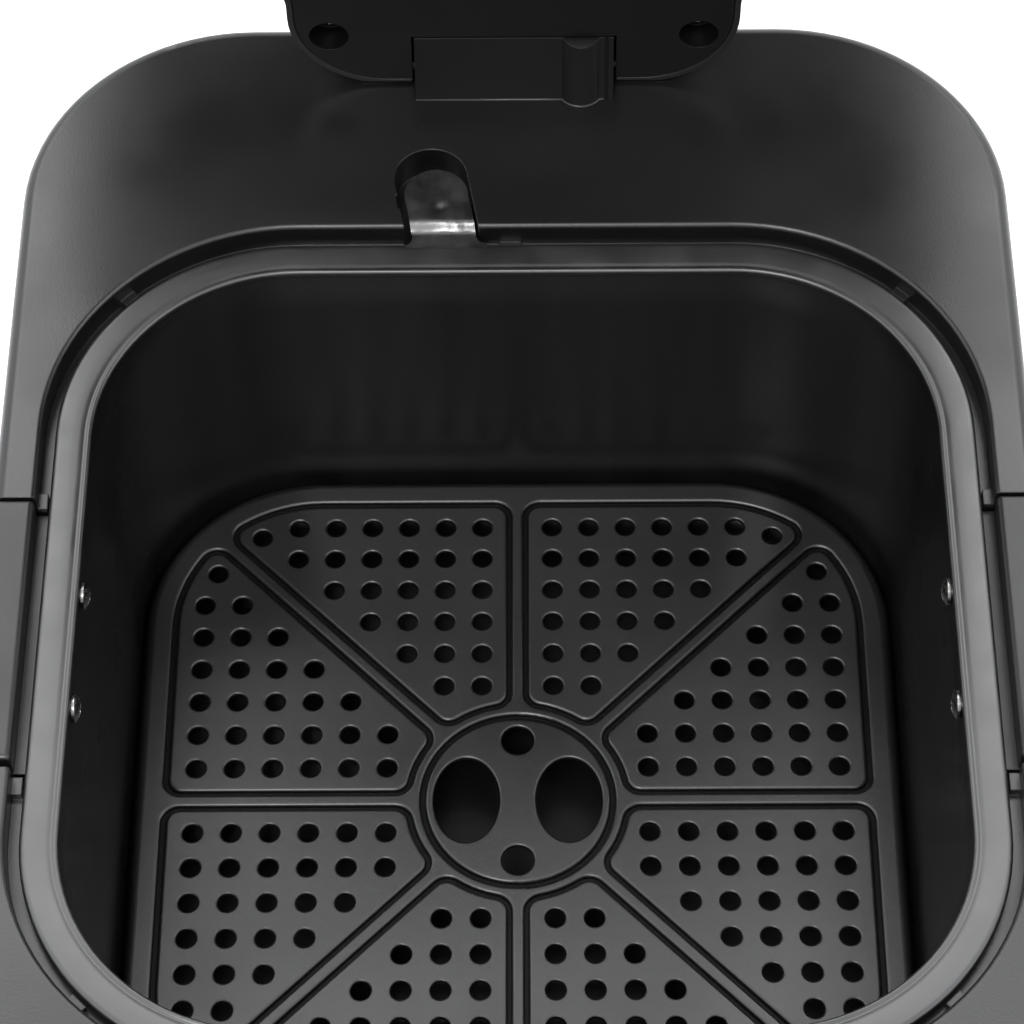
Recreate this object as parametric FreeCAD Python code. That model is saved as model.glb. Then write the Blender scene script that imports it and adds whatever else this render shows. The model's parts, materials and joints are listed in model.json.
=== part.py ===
"""Flip-lid air fryer: base, lift-out pot and crisper plate, rear-hinged lid with heater and fan.

Millimetres. While the pieces are made, y is measured from the centre of the pot (+y to the rear),
x from the middle plane and z from the surface that the feet stand on. Every piece is moved along y
by ROW_Y when it is written, so that the origin is under the middle of the whole object. The lid's
pieces are drawn closed and then swung open about the hinge pin, which is the rest pose.
"""
import FreeCAD, Part
import math
import os

V = FreeCAD.Vector
X_AXIS = V(1, 0, 0)
Y_AXIS = V(0, 1, 0)
Z_AXIS = V(0, 0, 1)

# ---- driving dimensions -------------------------------------------------------------------
BODY_HALF = 145.9          # half width of the base
BODY_FRONT = -165.0        # front face, from the pot centre
BODY_REAR = 212.0          # rear face, from the pot centre
BODY_CORNER = 66.0         # radius of the upright corners
WALL = 3.0                 # plastic wall
FOOT_HEIGHT = 8.0
COVER_TOP = 12.0           # joint between the bottom cover and the shell
DECK_JOINT = 148.0         # joint between the shell and the top deck
DECK_TOP = 160.0           # top face of the base
DECK_PLATE = 3.0
DECK_EDGE = 4.0            # radius along the outer top edge

OPENING_HALF = 133.8       # opening in the deck
OPENING_CORNER = 70.0
OPENING_EDGE = 1.2
LEDGE_TOP = 151.5          # ledge under the pot's rim
LEDGE_HALF = 126.0
LEDGE_CORNER = 62.0
COLLAR = 2.5

PLATE_TOP = 54.5           # cooking surface of the crisper plate
PLATE_HALF = 115.0
PLATE_CORNER = 54.0
PLATE_SHEET = 1.2          # thickness of the plate's sheet
PLATE_SKIRT = 4.5          # height of its turned-down edge
PLATE_ROLL = 3.5           # radius over the turned-down edge
GROOVE_DEPTH = 1.6
RIDGE_GAP = 1.0            # from the middle of a rib to the ridges under it
FOOT_OFFSET = 84.0         # plate feet along x and y
PITCH = 11.5               # hole pitch of the crisper plate
FIRST_ROW = 10.9           # first hole row from the middle of a rib
FIRST_RANK = 39.2          # first hole rank from the plate centre
HOLE_RADIUS = 2.9
PILLOW_EDGE = 1.0          # radius along the grooves
HOLE_EDGE = 0.7            # radius round the holes

RIM_HALF = 130.4           # outer edge of the pot's rim
RIM_CORNER = 66.3
RIM_TOP = 155.7
RIM_THICK = 1.5
POT_HALF = 120.8           # inner wall at the rim
POT_CORNER = 57.4
POT_FLOOR = 34.5           # inner floor
POT_DRAFT = 5.6            # the wall draws in by this much down to the floor
POT_WALL = 1.2
POT_FLOOR_EDGE = 9.0

LINER_HALF = 125.2         # inner wall at the top
LINER_CORNER = 61.2
LINER_DRAFT = 5.0
LINER_WALL = 1.0
LINER_FLOOR = 33.0

HANDLE_REAR = 38.3         # ends of a handle along y
HANDLE_FRONT = -44.2
HANDLE_INNER = 134.0
HANDLE_OUTER = 154.0
HANDLE_BOTTOM = 138.0
NOTCH_REAR = 38.9          # ends of the handle notch in the base
NOTCH_FRONT = -46.6
NOTCH_FLOOR = 118.0
NOTCH_SILL = 137.0         # top of the wall between the notch and the cavity
NOTCH_WALL_X = 128.0
SCREW_Y = (14.0, -22.0)    # pot screws along y
SCREW_Z = 148.0

TONGUE_TURN = 10.0         # the tongue and its pocket are turned by this angle, in degrees
TONGUE_HALF = 9.35
TONGUE_LENGTH = 23.0       # from the opening's edge to the tip
TONGUE_RISE = 2.5          # height of its step above the rim
POCKET_X = -21.6
POCKET_HALF = 10.8
POCKET_LENGTH = 29.5
POCKET_FLOOR = 149.0
KEY_DEPTH = 0.6            # small notch in the pocket's left wall
KEY_ALONG = 9.0
KEY_LENGTH = 5.0
TONGUE_X = -20.9           # where the tongue leaves the rim
PLUNGER_ALONG = 8.5        # dimple and switch plunger, along the tongue from the opening

PLUNGER_GAP = 2.4          # from the plunger's top to the tongue above it

HINGE_Y = 192.3
HINGE_Z = 164.8
HINGE_BACK = 4.0           # from the pin to the neck's rear face and to its underside
NECK_LIP = 1.0             # radius along the neck's lower rear edge
RELIEF_DEPTH = 0.8         # shallow groove in the deck that the neck's edge swings through
RELIEF_HALF = 46.0
PIN_RADIUS = 1.5
PIN_RUN = 0.05             # running clearance about the pin
PIN_HALF = 44.0
OPEN_ANGLE = 90.0
BLOCK_HALF = 29.8          # hinge block on the deck
BLOCK_FRONT = 182.2
BLOCK_REAR = 204.3
BLOCK_RADIUS = 16.1        # the block stays within this distance of the pin
BLOCK_WALL = 2.5
BLOCK_RISE = 30.0
BLOCK_LEAN = 9.4           # the block leans back by this much over BLOCK_RISE
BUMP_X = 20.0
BUMP_RADIUS = 6.7
BUMP_PROUD = 2.9
WELL_HALF = 30.6           # space for the block in the lid's neck
WELL_REACH = 16.7
WELL_WALL = 2.0
BEARING_RADIUS = 2.9       # boss of a lid arm about the pin
EAR_X = 24.0
EAR_THICK = 2.0
SPRING_X = 5.0             # inner end of a hinge spring
SPRING_RADIUS = 3.4
SPRING_WIRE = 0.8
SPRING_PITCH = 2.0
SPRING_TURNS = 8
ARM_X = 35.0
ARM_THICK = 2.5

LID_BOTTOM = 160.8         # underside of the closed lid
LID_HALF = 145.0
LID_FRONT = -165.0
LID_REAR = 150.0
LID_CORNER = 66.0
LID_REAR_CORNER = 50.0
NECK_HALF = 67.0
NECK_REAR = HINGE_Y + HINGE_BACK
NECK_CORNER = 29.0
NECK_BLEND = 12.0
NECK_TOP = 222.0
LID_TOP = 248.8
LID_WALL = 1.8
LID_EDGE = 13.0
NECK_EDGE = 6.0
COVER_THICK = 3.0          # lid inner cover
CHAMBER_HALF = 118.0       # heating chamber in the lid, inner wall
CHAMBER_CORNER = 55.0
CHAMBER_TOP = 210.0
CHAMBER_LIP = 158.8
RECESS_X = 55.0            # screw recesses in the neck
RECESS_Y = 175.1
RECESS_RADIUS = 5.9
RECESS_DEPTH = 9.0
ARM_BOTTOM = LID_BOTTOM + COVER_THICK + 0.3
ARM_FOOT_TOP = LID_BOTTOM + RECESS_DEPTH + 4.0

COIL_Z = 170.0
COIL_WIRE = 3.25
COIL_OUTER = 84.0
COIL_STEP = 5.0
FAN_Z = 178.0
FAN_RADIUS = 55.0
FAN_BLADES = 8
COOLER_Z = 212.0
COOLER_RADIUS = 45.0
COOLER_BLADES = 9
MOTOR_Z = 222.0
MOTOR_HEIGHT = 20.0
MOTOR_RADIUS = 31.0
SHAFT_RADIUS = 3.0
PRESS_GAP = 0.01           # between the shaft and what is pressed on it

FASCIA_HALF = 75.0
FASCIA_BOTTOM = 54.0
FASCIA_TOP = 128.0
FASCIA_THICK = 3.5
FASCIA_PROUD = 1.0
FASCIA_CORNER = 9.0
KNOB_Z = 80.0
KNOB_RADIUS = 20.0
KNOB_DEPTH = 14.0
BUTTON_RADIUS = 7.0
BUTTON_GAP = 0.3
BUTTON_PROUD = 1.6
BUTTON_PLACES = {
    "power_button": (-56.0, 80.0),
    "preset_button": (-36.0, 80.0),
    "timer_button": (36.0, 80.0),
    "start_button": (56.0, 80.0),
}
LENS_HALF = 36.0
LENS_BOTTOM = 106.0
LENS_TOP = 121.0

MAGNET_X = 40.0
MAGNET_Y = 157.0
GLAND_X = -62.0
GLAND_Z = 42.0
GLAND_BORE = 3.8

BACK_REACH = HINGE_Y + LID_TOP - HINGE_Z            # rearmost point of the open lid
FRONT_REACH = FASCIA_PROUD + KNOB_DEPTH + 1.0 - BODY_FRONT
ROW_Y = (FRONT_REACH - BACK_REACH) / 2.0


# ---- shape helpers ------------------------------------------------------------------------
def rounded_wire(corners, z):
    """Closed wire at height z through (x, y, radius) corners, each rounded by its radius."""
    turns = []
    for index, (x, y, radius) in enumerate(corners):
        corner = V(x, y, z)
        before = V(corners[index - 1][0], corners[index - 1][1], z)
        following = corners[(index + 1) % len(corners)]
        after = V(following[0], following[1], z)
        back = (before - corner).normalize()
        ahead = (after - corner).normalize()
        half_angle = back.getAngle(ahead) / 2.0
        reach = radius / math.tan(half_angle)
        inward = (back + ahead).normalize()
        middle = corner + inward * (radius / math.sin(half_angle) - radius)
        turns.append((corner + back * reach, middle, corner + ahead * reach, radius))
    edges = []
    for index, (first, middle, last, radius) in enumerate(turns):
        if radius > 0:
            edges.append(Part.Arc(first, middle, last).toShape())
        following = turns[(index + 1) % len(turns)][0]
        if last.distanceToPoint(following) > 1e-6:
            edges.append(Part.LineSegment(last, following).toShape())
    return Part.Wire(edges)


def prism(corners, z0, z1):
    return Part.Face(rounded_wire(corners, z0)).extrude(V(0, 0, z1 - z0))


def loft(corners0, z0, corners1, z1):
    return Part.makeLoft([rounded_wire(corners0, z0), rounded_wire(corners1, z1)], True, True)


def rectangle(half, y0, y1, radius):
    return [(-half, y0, radius), (half, y0, radius), (half, y1, radius), (-half, y1, radius)]


def square(half, radius):
    return rectangle(half, -half, half, radius)


def body_outline(inset):
    radius = BODY_CORNER - inset
    return rectangle(BODY_HALF - inset, BODY_FRONT + inset, BODY_REAR - inset, radius)


def lid_outline(inset):
    """Plan of the closed lid: a wide body and a narrower neck that reaches back to the hinge."""
    half = LID_HALF - inset
    front = LID_FRONT + inset
    rear = LID_REAR - inset
    neck = NECK_HALF - inset
    end = NECK_REAR - inset
    return [
        (-half, front, LID_CORNER - inset),
        (half, front, LID_CORNER - inset),
        (half, rear, LID_REAR_CORNER - inset),
        (neck, rear, NECK_BLEND + inset),
        (neck, end, NECK_CORNER - inset),
        (-neck, end, NECK_CORNER - inset),
        (-neck, rear, NECK_BLEND + inset),
        (-half, rear, LID_REAR_CORNER - inset),
    ]


def box(x0, x1, y0, y1, z0, z1):
    return Part.makeBox(x1 - x0, y1 - y0, z1 - z0, V(x0, y0, z0))


def post(x, y, z0, z1, radius):
    return Part.makeCylinder(radius, z1 - z0, V(x, y, z0), Z_AXIS)


def tube(x, y, z0, z1, outer, inner):
    return post(x, y, z0, z1, outer).cut(post(x, y, z0, z1, inner))


def rod_x(x0, x1, y, z, radius):
    return Part.makeCylinder(radius, x1 - x0, V(x0, y, z), X_AXIS)


def rod_y(x, y0, y1, z, radius):
    return Part.makeCylinder(radius, y1 - y0, V(x, y0, z), Y_AXIS)


def upright(corners, y0, y1):
    """Prism of an (x, z, radius) outline that runs along y from y0 to y1."""
    shape = prism(corners, 0.0, y1 - y0)
    shape.rotate(V(0, 0, 0), X_AXIS, 90.0)
    shape.translate(V(0, y1, 0))
    return shape


def union(first, *others):
    return first.fuse(list(others)).removeSplitter()


def turned(shape, degrees, centre=V(0, 0, 0), axis=Z_AXIS):
    copy = shape.copy()
    copy.rotate(centre, axis, degrees)
    return copy


def mirrored(shape):
    """The same shape on the other side of the middle plane."""
    return shape.mirror(V(0, 0, 0), X_AXIS)


def edges_at(shape, z, inside=None):
    """Level edges at height z; inside limits them to |x| and |y| up to that size."""
    found = []
    for edge in shape.Edges:
        bounds = edge.BoundBox
        level = abs(bounds.ZMin - z) < 1e-4 and abs(bounds.ZMax - z) < 1e-4
        reach = max(abs(bounds.XMin), abs(bounds.XMax), abs(bounds.YMin), abs(bounds.YMax))
        if level and (inside is None or reach < inside):
            found.append(edge)
    return found


def open_lid(shape):
    return turned(shape, -OPEN_ANGLE, V(0, HINGE_Y, HINGE_Z), X_AXIS)


def save(name, shape):
    piece = shape.copy()
    piece.translate(V(0, ROW_Y, 0))
    if not piece.isValid():
        print("not valid:", name)
    piece.exportStep("parts/" + name + ".step")
    print("%-20s %2d solid %10.1f mm3" % (name, len(piece.Solids), piece.Volume))


# ---- base ---------------------------------------------------------------------------------
def both_sides(shape):
    return [shape, mirrored(shape)]


def handle_notch(z0, z1):
    """Space that a handle and the foot behind it drop into, on both sides."""
    return both_sides(box(LEDGE_HALF - 8.0, BODY_HALF + 5.0, NOTCH_FRONT, NOTCH_REAR, z0, z1))


def notch_surround(x0, gap):
    """Space of the deck's notch walls, from x0 outwards, grown by a gap."""
    front = NOTCH_FRONT - WALL - gap
    rear = NOTCH_REAR + WALL + gap
    return both_sides(box(x0, BODY_HALF + 1.0, front, rear, NOTCH_FLOOR - WALL - gap, DECK_TOP))


def base_shell():
    shell = prism(body_outline(0.0), COVER_TOP, DECK_JOINT)
    shell = shell.cut(prism(body_outline(WALL), COVER_TOP - 1.0, DECK_JOINT + 1.0))
    window = upright(fascia_outline(-0.3), BODY_FRONT - 1.0, BODY_FRONT + WALL + 1.0)
    gland = rod_y(GLAND_X, BODY_REAR - WALL - 1.0, BODY_REAR + 1.0, GLAND_Z, 7.95)
    bosses = []
    for x, y in SHELL_SCREWS:
        bosses.append(tube(x, y, COVER_TOP, 40.0, 4.5, 1.6))
        reach = math.copysign(BODY_HALF - 1.0, x)
        rib = box(min(x, reach), max(x, reach), y - 1.0, y + 1.0, COVER_TOP + 5.0, 38.0)
        bosses.append(rib.cut(post(x, y, COVER_TOP, 42.0, 3.0)))
    return union(shell, *bosses).cut([window, gland, *notch_surround(BODY_HALF - WALL - 1.0, 0.2)])


def slot_shape(x, half, length, z0, z1):
    """Round-ended slot that runs back from the opening's edge, turned like the tongue."""
    start = OPENING_HALF - 16.0
    tip = OPENING_HALF + length - half
    shape = union(box(-half, half, start, tip, z0, z1), post(0, tip, z0, z1, half))
    shape.translate(V(x, 0, 0))
    return turned(shape, TONGUE_TURN, V(x, OPENING_HALF, 0))


def notch_walls():
    """Floor, ends and low inner wall of a handle notch, which hang below the deck."""
    walls = box(NOTCH_WALL_X, BODY_HALF, NOTCH_FRONT - WALL, NOTCH_REAR + WALL,
                NOTCH_FLOOR - WALL, DECK_TOP - 1.0)
    hollow = box(NOTCH_WALL_X + WALL, BODY_HALF + 1.0, NOTCH_FRONT, NOTCH_REAR,
                 NOTCH_FLOOR, DECK_TOP)
    above_rim = prism(square(OPENING_HALF, OPENING_CORNER), LEDGE_TOP, DECK_TOP)
    return both_sides(walls.cut([hollow, above_rim]))


def rim_guides():
    """Small tabs in the gap round the pot's rim that keep it centred."""
    low = LEDGE_TOP - 0.5
    high = LEDGE_TOP + 2.6
    inner = RIM_HALF + 0.6
    outer = OPENING_HALF + 0.5
    guides = both_sides(box(inner, outer, NOTCH_REAR, NOTCH_REAR + 5.1, low, high))
    guides += both_sides(box(inner, outer, NOTCH_FRONT - 5.1, NOTCH_FRONT, low, high))
    guides.append(box(-4.4, 1.9, inner, outer, low, high - 1.6))
    centre = RIM_HALF - RIM_CORNER
    tab = box(RIM_CORNER + 0.6, RIM_CORNER + 4.0, -2.6, 2.6, low, high)
    for quarter in range(4):
        corner = turned(tab, 45.0)
        corner.translate(V(centre, centre, 0))
        guides.append(turned(corner, 90.0 * quarter))
    return guides


def top_deck():
    deck = prism(body_outline(0.0), DECK_JOINT, DECK_TOP)
    deck = deck.makeFillet(DECK_EDGE, edges_at(deck, DECK_TOP))
    deck = deck.cut(prism(square(OPENING_HALF, OPENING_CORNER), DECK_JOINT - 1.0, DECK_TOP + 1.0))
    deck = deck.makeFillet(OPENING_EDGE, edges_at(deck, DECK_TOP, OPENING_HALF + 1.0))
    hollow = prism(body_outline(WALL), DECK_JOINT - 1.0, DECK_TOP - DECK_PLATE)
    collar_plan = square(OPENING_HALF + COLLAR, OPENING_CORNER + COLLAR)
    hollow = hollow.cut(prism(collar_plan, LEDGE_TOP - 2.0, DECK_TOP))
    deck = deck.cut(hollow)
    ledge = prism(collar_plan, LEDGE_TOP - 2.0, LEDGE_TOP)
    ledge = ledge.cut(prism(square(LEDGE_HALF, LEDGE_CORNER), LEDGE_TOP - 3.0, LEDGE_TOP + 1.0))
    well = slot_shape(POCKET_X, POCKET_HALF + 2.0, POCKET_LENGTH + 2.0, POCKET_FLOOR - 2.0,
                      DECK_TOP - 1.0)
    well = well.cut(prism(square(OPENING_HALF, OPENING_CORNER), POCKET_FLOOR - 3.0, DECK_TOP))
    deck = union(deck, ledge, well, *notch_walls(), *rim_guides())
    pocket = slot_shape(POCKET_X, POCKET_HALF, POCKET_LENGTH, POCKET_FLOOR, DECK_TOP + 1.0)
    pocket = pocket.cut(prism(square(OPENING_HALF, OPENING_CORNER), POCKET_FLOOR - 1.0, LEDGE_TOP))
    plunger_x, plunger_y = tongue_point(0.0, PLUNGER_ALONG)
    bore = post(plunger_x, plunger_y, POCKET_FLOOR - 3.0, POCKET_FLOOR + 1.0, 3.3)
    key = box(POCKET_X - POCKET_HALF - KEY_DEPTH, POCKET_X, OPENING_HALF + KEY_ALONG,
              OPENING_HALF + KEY_ALONG + KEY_LENGTH, DECK_TOP - 5.0, DECK_TOP + 1.0)
    key = turned(key, TONGUE_TURN, V(POCKET_X, OPENING_HALF, 0))
    relief = box(-RELIEF_HALF, RELIEF_HALF, HINGE_Y - 3.2, HINGE_Y + 3.2,
                 DECK_TOP - RELIEF_DEPTH, DECK_TOP + 1.0)
    relief = relief.cut(box(-BLOCK_HALF, BLOCK_HALF, BLOCK_FRONT, BLOCK_REAR, DECK_TOP - 2.0,
                            DECK_TOP + 2.0))
    openings = [pocket, key, bore, relief] + handle_notch(NOTCH_SILL, DECK_TOP + 1.0) + ear_slots()
    return deck.cut(openings + liner_screw_holes())


def tongue_point(across, along):
    """Plan position of a point on the tongue, along it from the opening's edge."""
    turn = math.radians(TONGUE_TURN)
    x = TONGUE_X + across * math.cos(turn) - along * math.sin(turn)
    y = OPENING_HALF + across * math.sin(turn) + along * math.cos(turn)
    return x, y


def liner_shape(grow, floor):
    low = square(LINER_HALF - LINER_DRAFT + grow, LINER_CORNER - LINER_DRAFT + grow)
    high = square(LINER_HALF + grow, LINER_CORNER + grow)
    return loft(low, floor, high, LEDGE_TOP - 2.0)


def cavity_liner():
    liner = liner_shape(LINER_WALL, LINER_FLOOR - LINER_WALL)
    flange = prism(square(LINER_HALF + 7.0, LINER_CORNER + 7.0), LEDGE_TOP - 3.0, LEDGE_TOP - 2.0)
    liner = union(liner, flange).cut(liner_shape(0.0, LINER_FLOOR))
    passage = handle_notch(HANDLE_BOTTOM + 1.0, DECK_TOP)
    return liner.cut(passage + notch_surround(NOTCH_WALL_X - 0.3, 0.3) + liner_screw_holes())


def bottom_cover():
    cover = prism(body_outline(0.0), FOOT_HEIGHT, COVER_TOP)
    cover = cover.makeChamfer(2.0, edges_at(cover, FOOT_HEIGHT))
    rim = prism(body_outline(WALL + 0.2), COVER_TOP, COVER_TOP + 4.0)
    rim = rim.cut(prism(body_outline(WALL + 2.2), COVER_TOP - 1.0, COVER_TOP + 5.0))
    slots = []
    for row in range(3):
        for column in range(11):
            x = -50.0 + 10.0 * column
            y = 60.0 + 34.0 * row
            slots.append(box(x - 2.0, x + 2.0, y, y + 24.0, FOOT_HEIGHT - 1.0, COVER_TOP + 1.0))
    slots += [post(x, y, FOOT_HEIGHT - 1.0, COVER_TOP + 1.0, 1.6) for x, y in SHELL_SCREWS]
    return union(cover, rim).cut(slots)


SHELL_SCREWS = ((-133.0, -60.0), (133.0, -60.0), (-133.0, 110.0), (133.0, 110.0))
FOOT_PLACES = {
    "foot_front_left": (-108.0, -122.0),
    "foot_front_right": (108.0, -122.0),
    "foot_rear_left": (-108.0, 169.0),
    "foot_rear_right": (108.0, 169.0),
}


def foot(x, y):
    pad = Part.makeCone(10.0, 12.0, FOOT_HEIGHT, V(x, y, 0), Z_AXIS)
    return pad.cut(post(x, y, -1.0, 3.0, 4.0))


def bottom_screws():
    screws = []
    for x, y in SHELL_SCREWS:
        head = post(x, y, FOOT_HEIGHT - 1.8, FOOT_HEIGHT, 3.6)
        cross = union(box(x - 2.0, x + 2.0, y - 0.4, y + 0.4, FOOT_HEIGHT - 2.0, FOOT_HEIGHT - 1.0),
                      box(x - 0.4, x + 0.4, y - 2.0, y + 2.0, FOOT_HEIGHT - 2.0, FOOT_HEIGHT - 1.0))
        screws.append(union(head.cut(cross), post(x, y, FOOT_HEIGHT, 26.0, 1.5)))
    return Part.makeCompound(screws)


def liner_screw_places():
    centre = LINER_HALF - LINER_CORNER
    reach = (LINER_CORNER + 4.2) / math.sqrt(2.0)
    place = centre + reach
    return [(place, place), (-place, place), (-place, -place), (place, -place)]


def liner_screw_holes():
    """Holes for the liner's screws through its flange and up into the ledge."""
    return [post(x, y, LEDGE_TOP - 4.0, LEDGE_TOP - 0.6, 1.35) for x, y in liner_screw_places()]


def liner_screws():
    screws = []
    for x, y in liner_screw_places():
        head = post(x, y, LEDGE_TOP - 4.8, LEDGE_TOP - 3.0, 2.5)
        shank = post(x, y, LEDGE_TOP - 3.0, LEDGE_TOP - 0.8, 1.3)
        screws.append(union(head, shank))
    return Part.makeCompound(screws)


# ---- controls on the front ----------------------------------------------------------------
def fascia_outline(inset):
    half = FASCIA_HALF - inset
    low = FASCIA_BOTTOM + inset
    high = FASCIA_TOP - inset
    radius = FASCIA_CORNER
    return [(-half, low, radius), (half, low, radius), (half, high, radius), (-half, high, radius)]


FASCIA_FACE = BODY_FRONT - FASCIA_PROUD
FASCIA_BACK = FASCIA_FACE + FASCIA_THICK


def lens_outline(inset):
    half = LENS_HALF - inset
    low = LENS_BOTTOM + inset
    high = LENS_TOP - inset
    return [(-half, low, 2.5), (half, low, 2.5), (half, high, 2.5), (-half, high, 2.5)]


def control_fascia():
    panel = upright(fascia_outline(0.0), FASCIA_FACE, FASCIA_BACK)
    holes = [rod_y(x, FASCIA_FACE - 1.0, FASCIA_BACK + 1.0, z, BUTTON_RADIUS + BUTTON_GAP)
             for x, z in BUTTON_PLACES.values()]
    holes.append(rod_y(0.0, FASCIA_FACE - 1.0, FASCIA_BACK + 1.0, KNOB_Z, 5.0))
    holes.append(upright(lens_outline(0.0), FASCIA_FACE - 1.0, FASCIA_BACK + 1.0))
    return panel.cut(holes)


def display_lens():
    return upright(lens_outline(0.1), FASCIA_FACE + 0.3, FASCIA_BACK)


def push_button(x, z):
    cap = rod_y(x, FASCIA_FACE - BUTTON_PROUD, FASCIA_BACK + 1.0, z, BUTTON_RADIUS)
    front = [edge for edge in cap.Edges if abs(edge.BoundBox.YMax - FASCIA_FACE + BUTTON_PROUD) < 1e-4]
    cap = cap.makeFillet(0.6, front)
    stem = rod_y(x, FASCIA_BACK + 1.0, FASCIA_BACK + 4.0, z, 2.5)
    return union(cap, stem)


def control_knob():
    front = FASCIA_FACE - 1.0 - KNOB_DEPTH
    skirt = rod_y(0.0, FASCIA_FACE - 4.0, FASCIA_FACE - 1.0, KNOB_Z, KNOB_RADIUS)
    grip = rod_y(0.0, front, FASCIA_FACE - 4.0, KNOB_Z, KNOB_RADIUS - 2.0)
    edges = [edge for edge in grip.Edges if abs(edge.BoundBox.YMax - front) < 1e-4]
    grip = grip.makeFillet(1.2, edges)
    flutes = []
    for index in range(24):
        angle = math.radians(360.0 / 24 * index)
        x = (KNOB_RADIUS - 1.6) * math.sin(angle)
        z = KNOB_Z + (KNOB_RADIUS - 1.6) * math.cos(angle)
        flutes.append(rod_y(x, front + 2.0, FASCIA_FACE - 4.0, z, 0.9))
    mark = box(-0.6, 0.6, front - 1.0, front + 0.5, KNOB_Z + 9.0, KNOB_Z + 15.0)
    shaft = rod_y(0.0, FASCIA_FACE - 1.0, FASCIA_BACK + 9.0, KNOB_Z, 3.0)
    return union(skirt, grip.cut(flutes + [mark]), shaft)


def rotary_encoder():
    case = box(-7.0, 7.0, FASCIA_BACK + 6.5, FASCIA_BACK + 13.0, KNOB_Z - 7.0, KNOB_Z + 7.0)
    neck = rod_y(0.0, FASCIA_BACK + 2.0, FASCIA_BACK + 6.5, KNOB_Z, 4.5)
    bore = rod_y(0.0, FASCIA_BACK + 1.0, FASCIA_BACK + 9.5, KNOB_Z, 3.0 + PIN_RUN)
    return union(case, neck).cut(bore)


def control_board():
    face = FASCIA_BACK + 13.0
    board = box(-FASCIA_HALF + 4.0, FASCIA_HALF - 4.0, face, face + 1.6, FASCIA_BOTTOM + 4.0,
                FASCIA_TOP - 4.0)
    parts = [box(x - 3.0, x + 3.0, FASCIA_BACK + 5.6, face, z - 3.0, z + 3.0)
             for x, z in BUTTON_PLACES.values()]
    parts.append(box(-LENS_HALF + 2.0, LENS_HALF - 2.0, FASCIA_BACK + 2.0, face,
                     LENS_BOTTOM + 1.0, LENS_TOP - 1.0))
    parts.append(box(-10.0, 10.0, face + 1.6, face + 4.0, 92.0, 104.0))
    return union(board, *parts)


def power_board():
    board = box(-60.0, 60.0, -150.0, -70.0, 17.0, 18.6)
    capacitor = post(-40.0, -90.0, 18.6, 30.0, 7.0)
    relay = box(10.0, 38.0, -100.0, -85.0, 18.6, 30.0)
    transformer = box(-20.0, 2.0, -140.0, -118.0, 18.6, 30.5)
    fuse = rod_x(20.0, 42.0, -130.0, 21.2, 3.0)
    legs = [post(x, y, COVER_TOP, 17.0, 3.0) for x in (-54.0, 54.0) for y in (-144.0, -76.0)]
    return union(board, capacitor, relay, transformer, fuse, *legs)


def cord_inlet():
    collar = rod_y(GLAND_X, BODY_REAR, BODY_REAR + 5.0, GLAND_Z, 11.0)
    body = rod_y(GLAND_X, BODY_REAR - WALL - 6.0, BODY_REAR, GLAND_Z, 7.9)
    bore = rod_y(GLAND_X, BODY_REAR - WALL - 7.0, BODY_REAR + 6.0, GLAND_Z, GLAND_BORE)
    return union(collar, body).cut(bore)


def pot_switch():
    x, y = tongue_point(0.0, PLUNGER_ALONG)
    case = box(x - 10.0, x + 10.0, y - 3.2, y + 3.2, 132.0, 142.0)
    tabs = [post(x + dx, y, 126.0, 132.0, 1.2) for dx in (-7.0, 0.0, 7.0)]
    hanger = box(x - 12.0, x - 10.0, y - 3.2, y + 3.2, 132.0, POCKET_FLOOR - 2.0)
    return union(case, hanger, *tabs)


def pot_plunger():
    x, y = tongue_point(0.0, PLUNGER_ALONG)
    head = post(x, y, POCKET_FLOOR - 5.0, TONGUE_UNDER - PLUNGER_GAP, 3.0)
    flange = post(x, y, POCKET_FLOOR - 5.0, POCKET_FLOOR - 3.6, 4.6)
    return union(head, flange)


def reed_switch():
    """Switch under the deck that the magnet in the lid's neck closes."""
    under = DECK_TOP - DECK_PLATE
    case = box(MAGNET_X - 10.0, MAGNET_X + 10.0, MAGNET_Y - 3.0, MAGNET_Y + 3.0, under - 7.0, under - 1.0)
    plate = box(MAGNET_X - 6.0, MAGNET_X + 6.0, MAGNET_Y - 5.0, MAGNET_Y + 5.0, under - 1.0, under)
    return union(case, plate)


# ---- hinge --------------------------------------------------------------------------------
def ear_slots():
    plate = DECK_TOP - DECK_PLATE
    slot = box(EAR_X - 0.2, EAR_X + EAR_THICK + 0.2, HINGE_Y - 5.4, HINGE_Y + 5.4, plate - 1.0,
               DECK_TOP + 1.0)
    return both_sides(slot)


def leaning_block(half, front, depth):
    """Block on the deck whose front and rear lean back."""
    foot_plan = Part.makePlane(2.0 * half, depth, V(-half, front, DECK_TOP))
    return foot_plan.extrude(V(0, BLOCK_LEAN, BLOCK_RISE))


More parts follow.
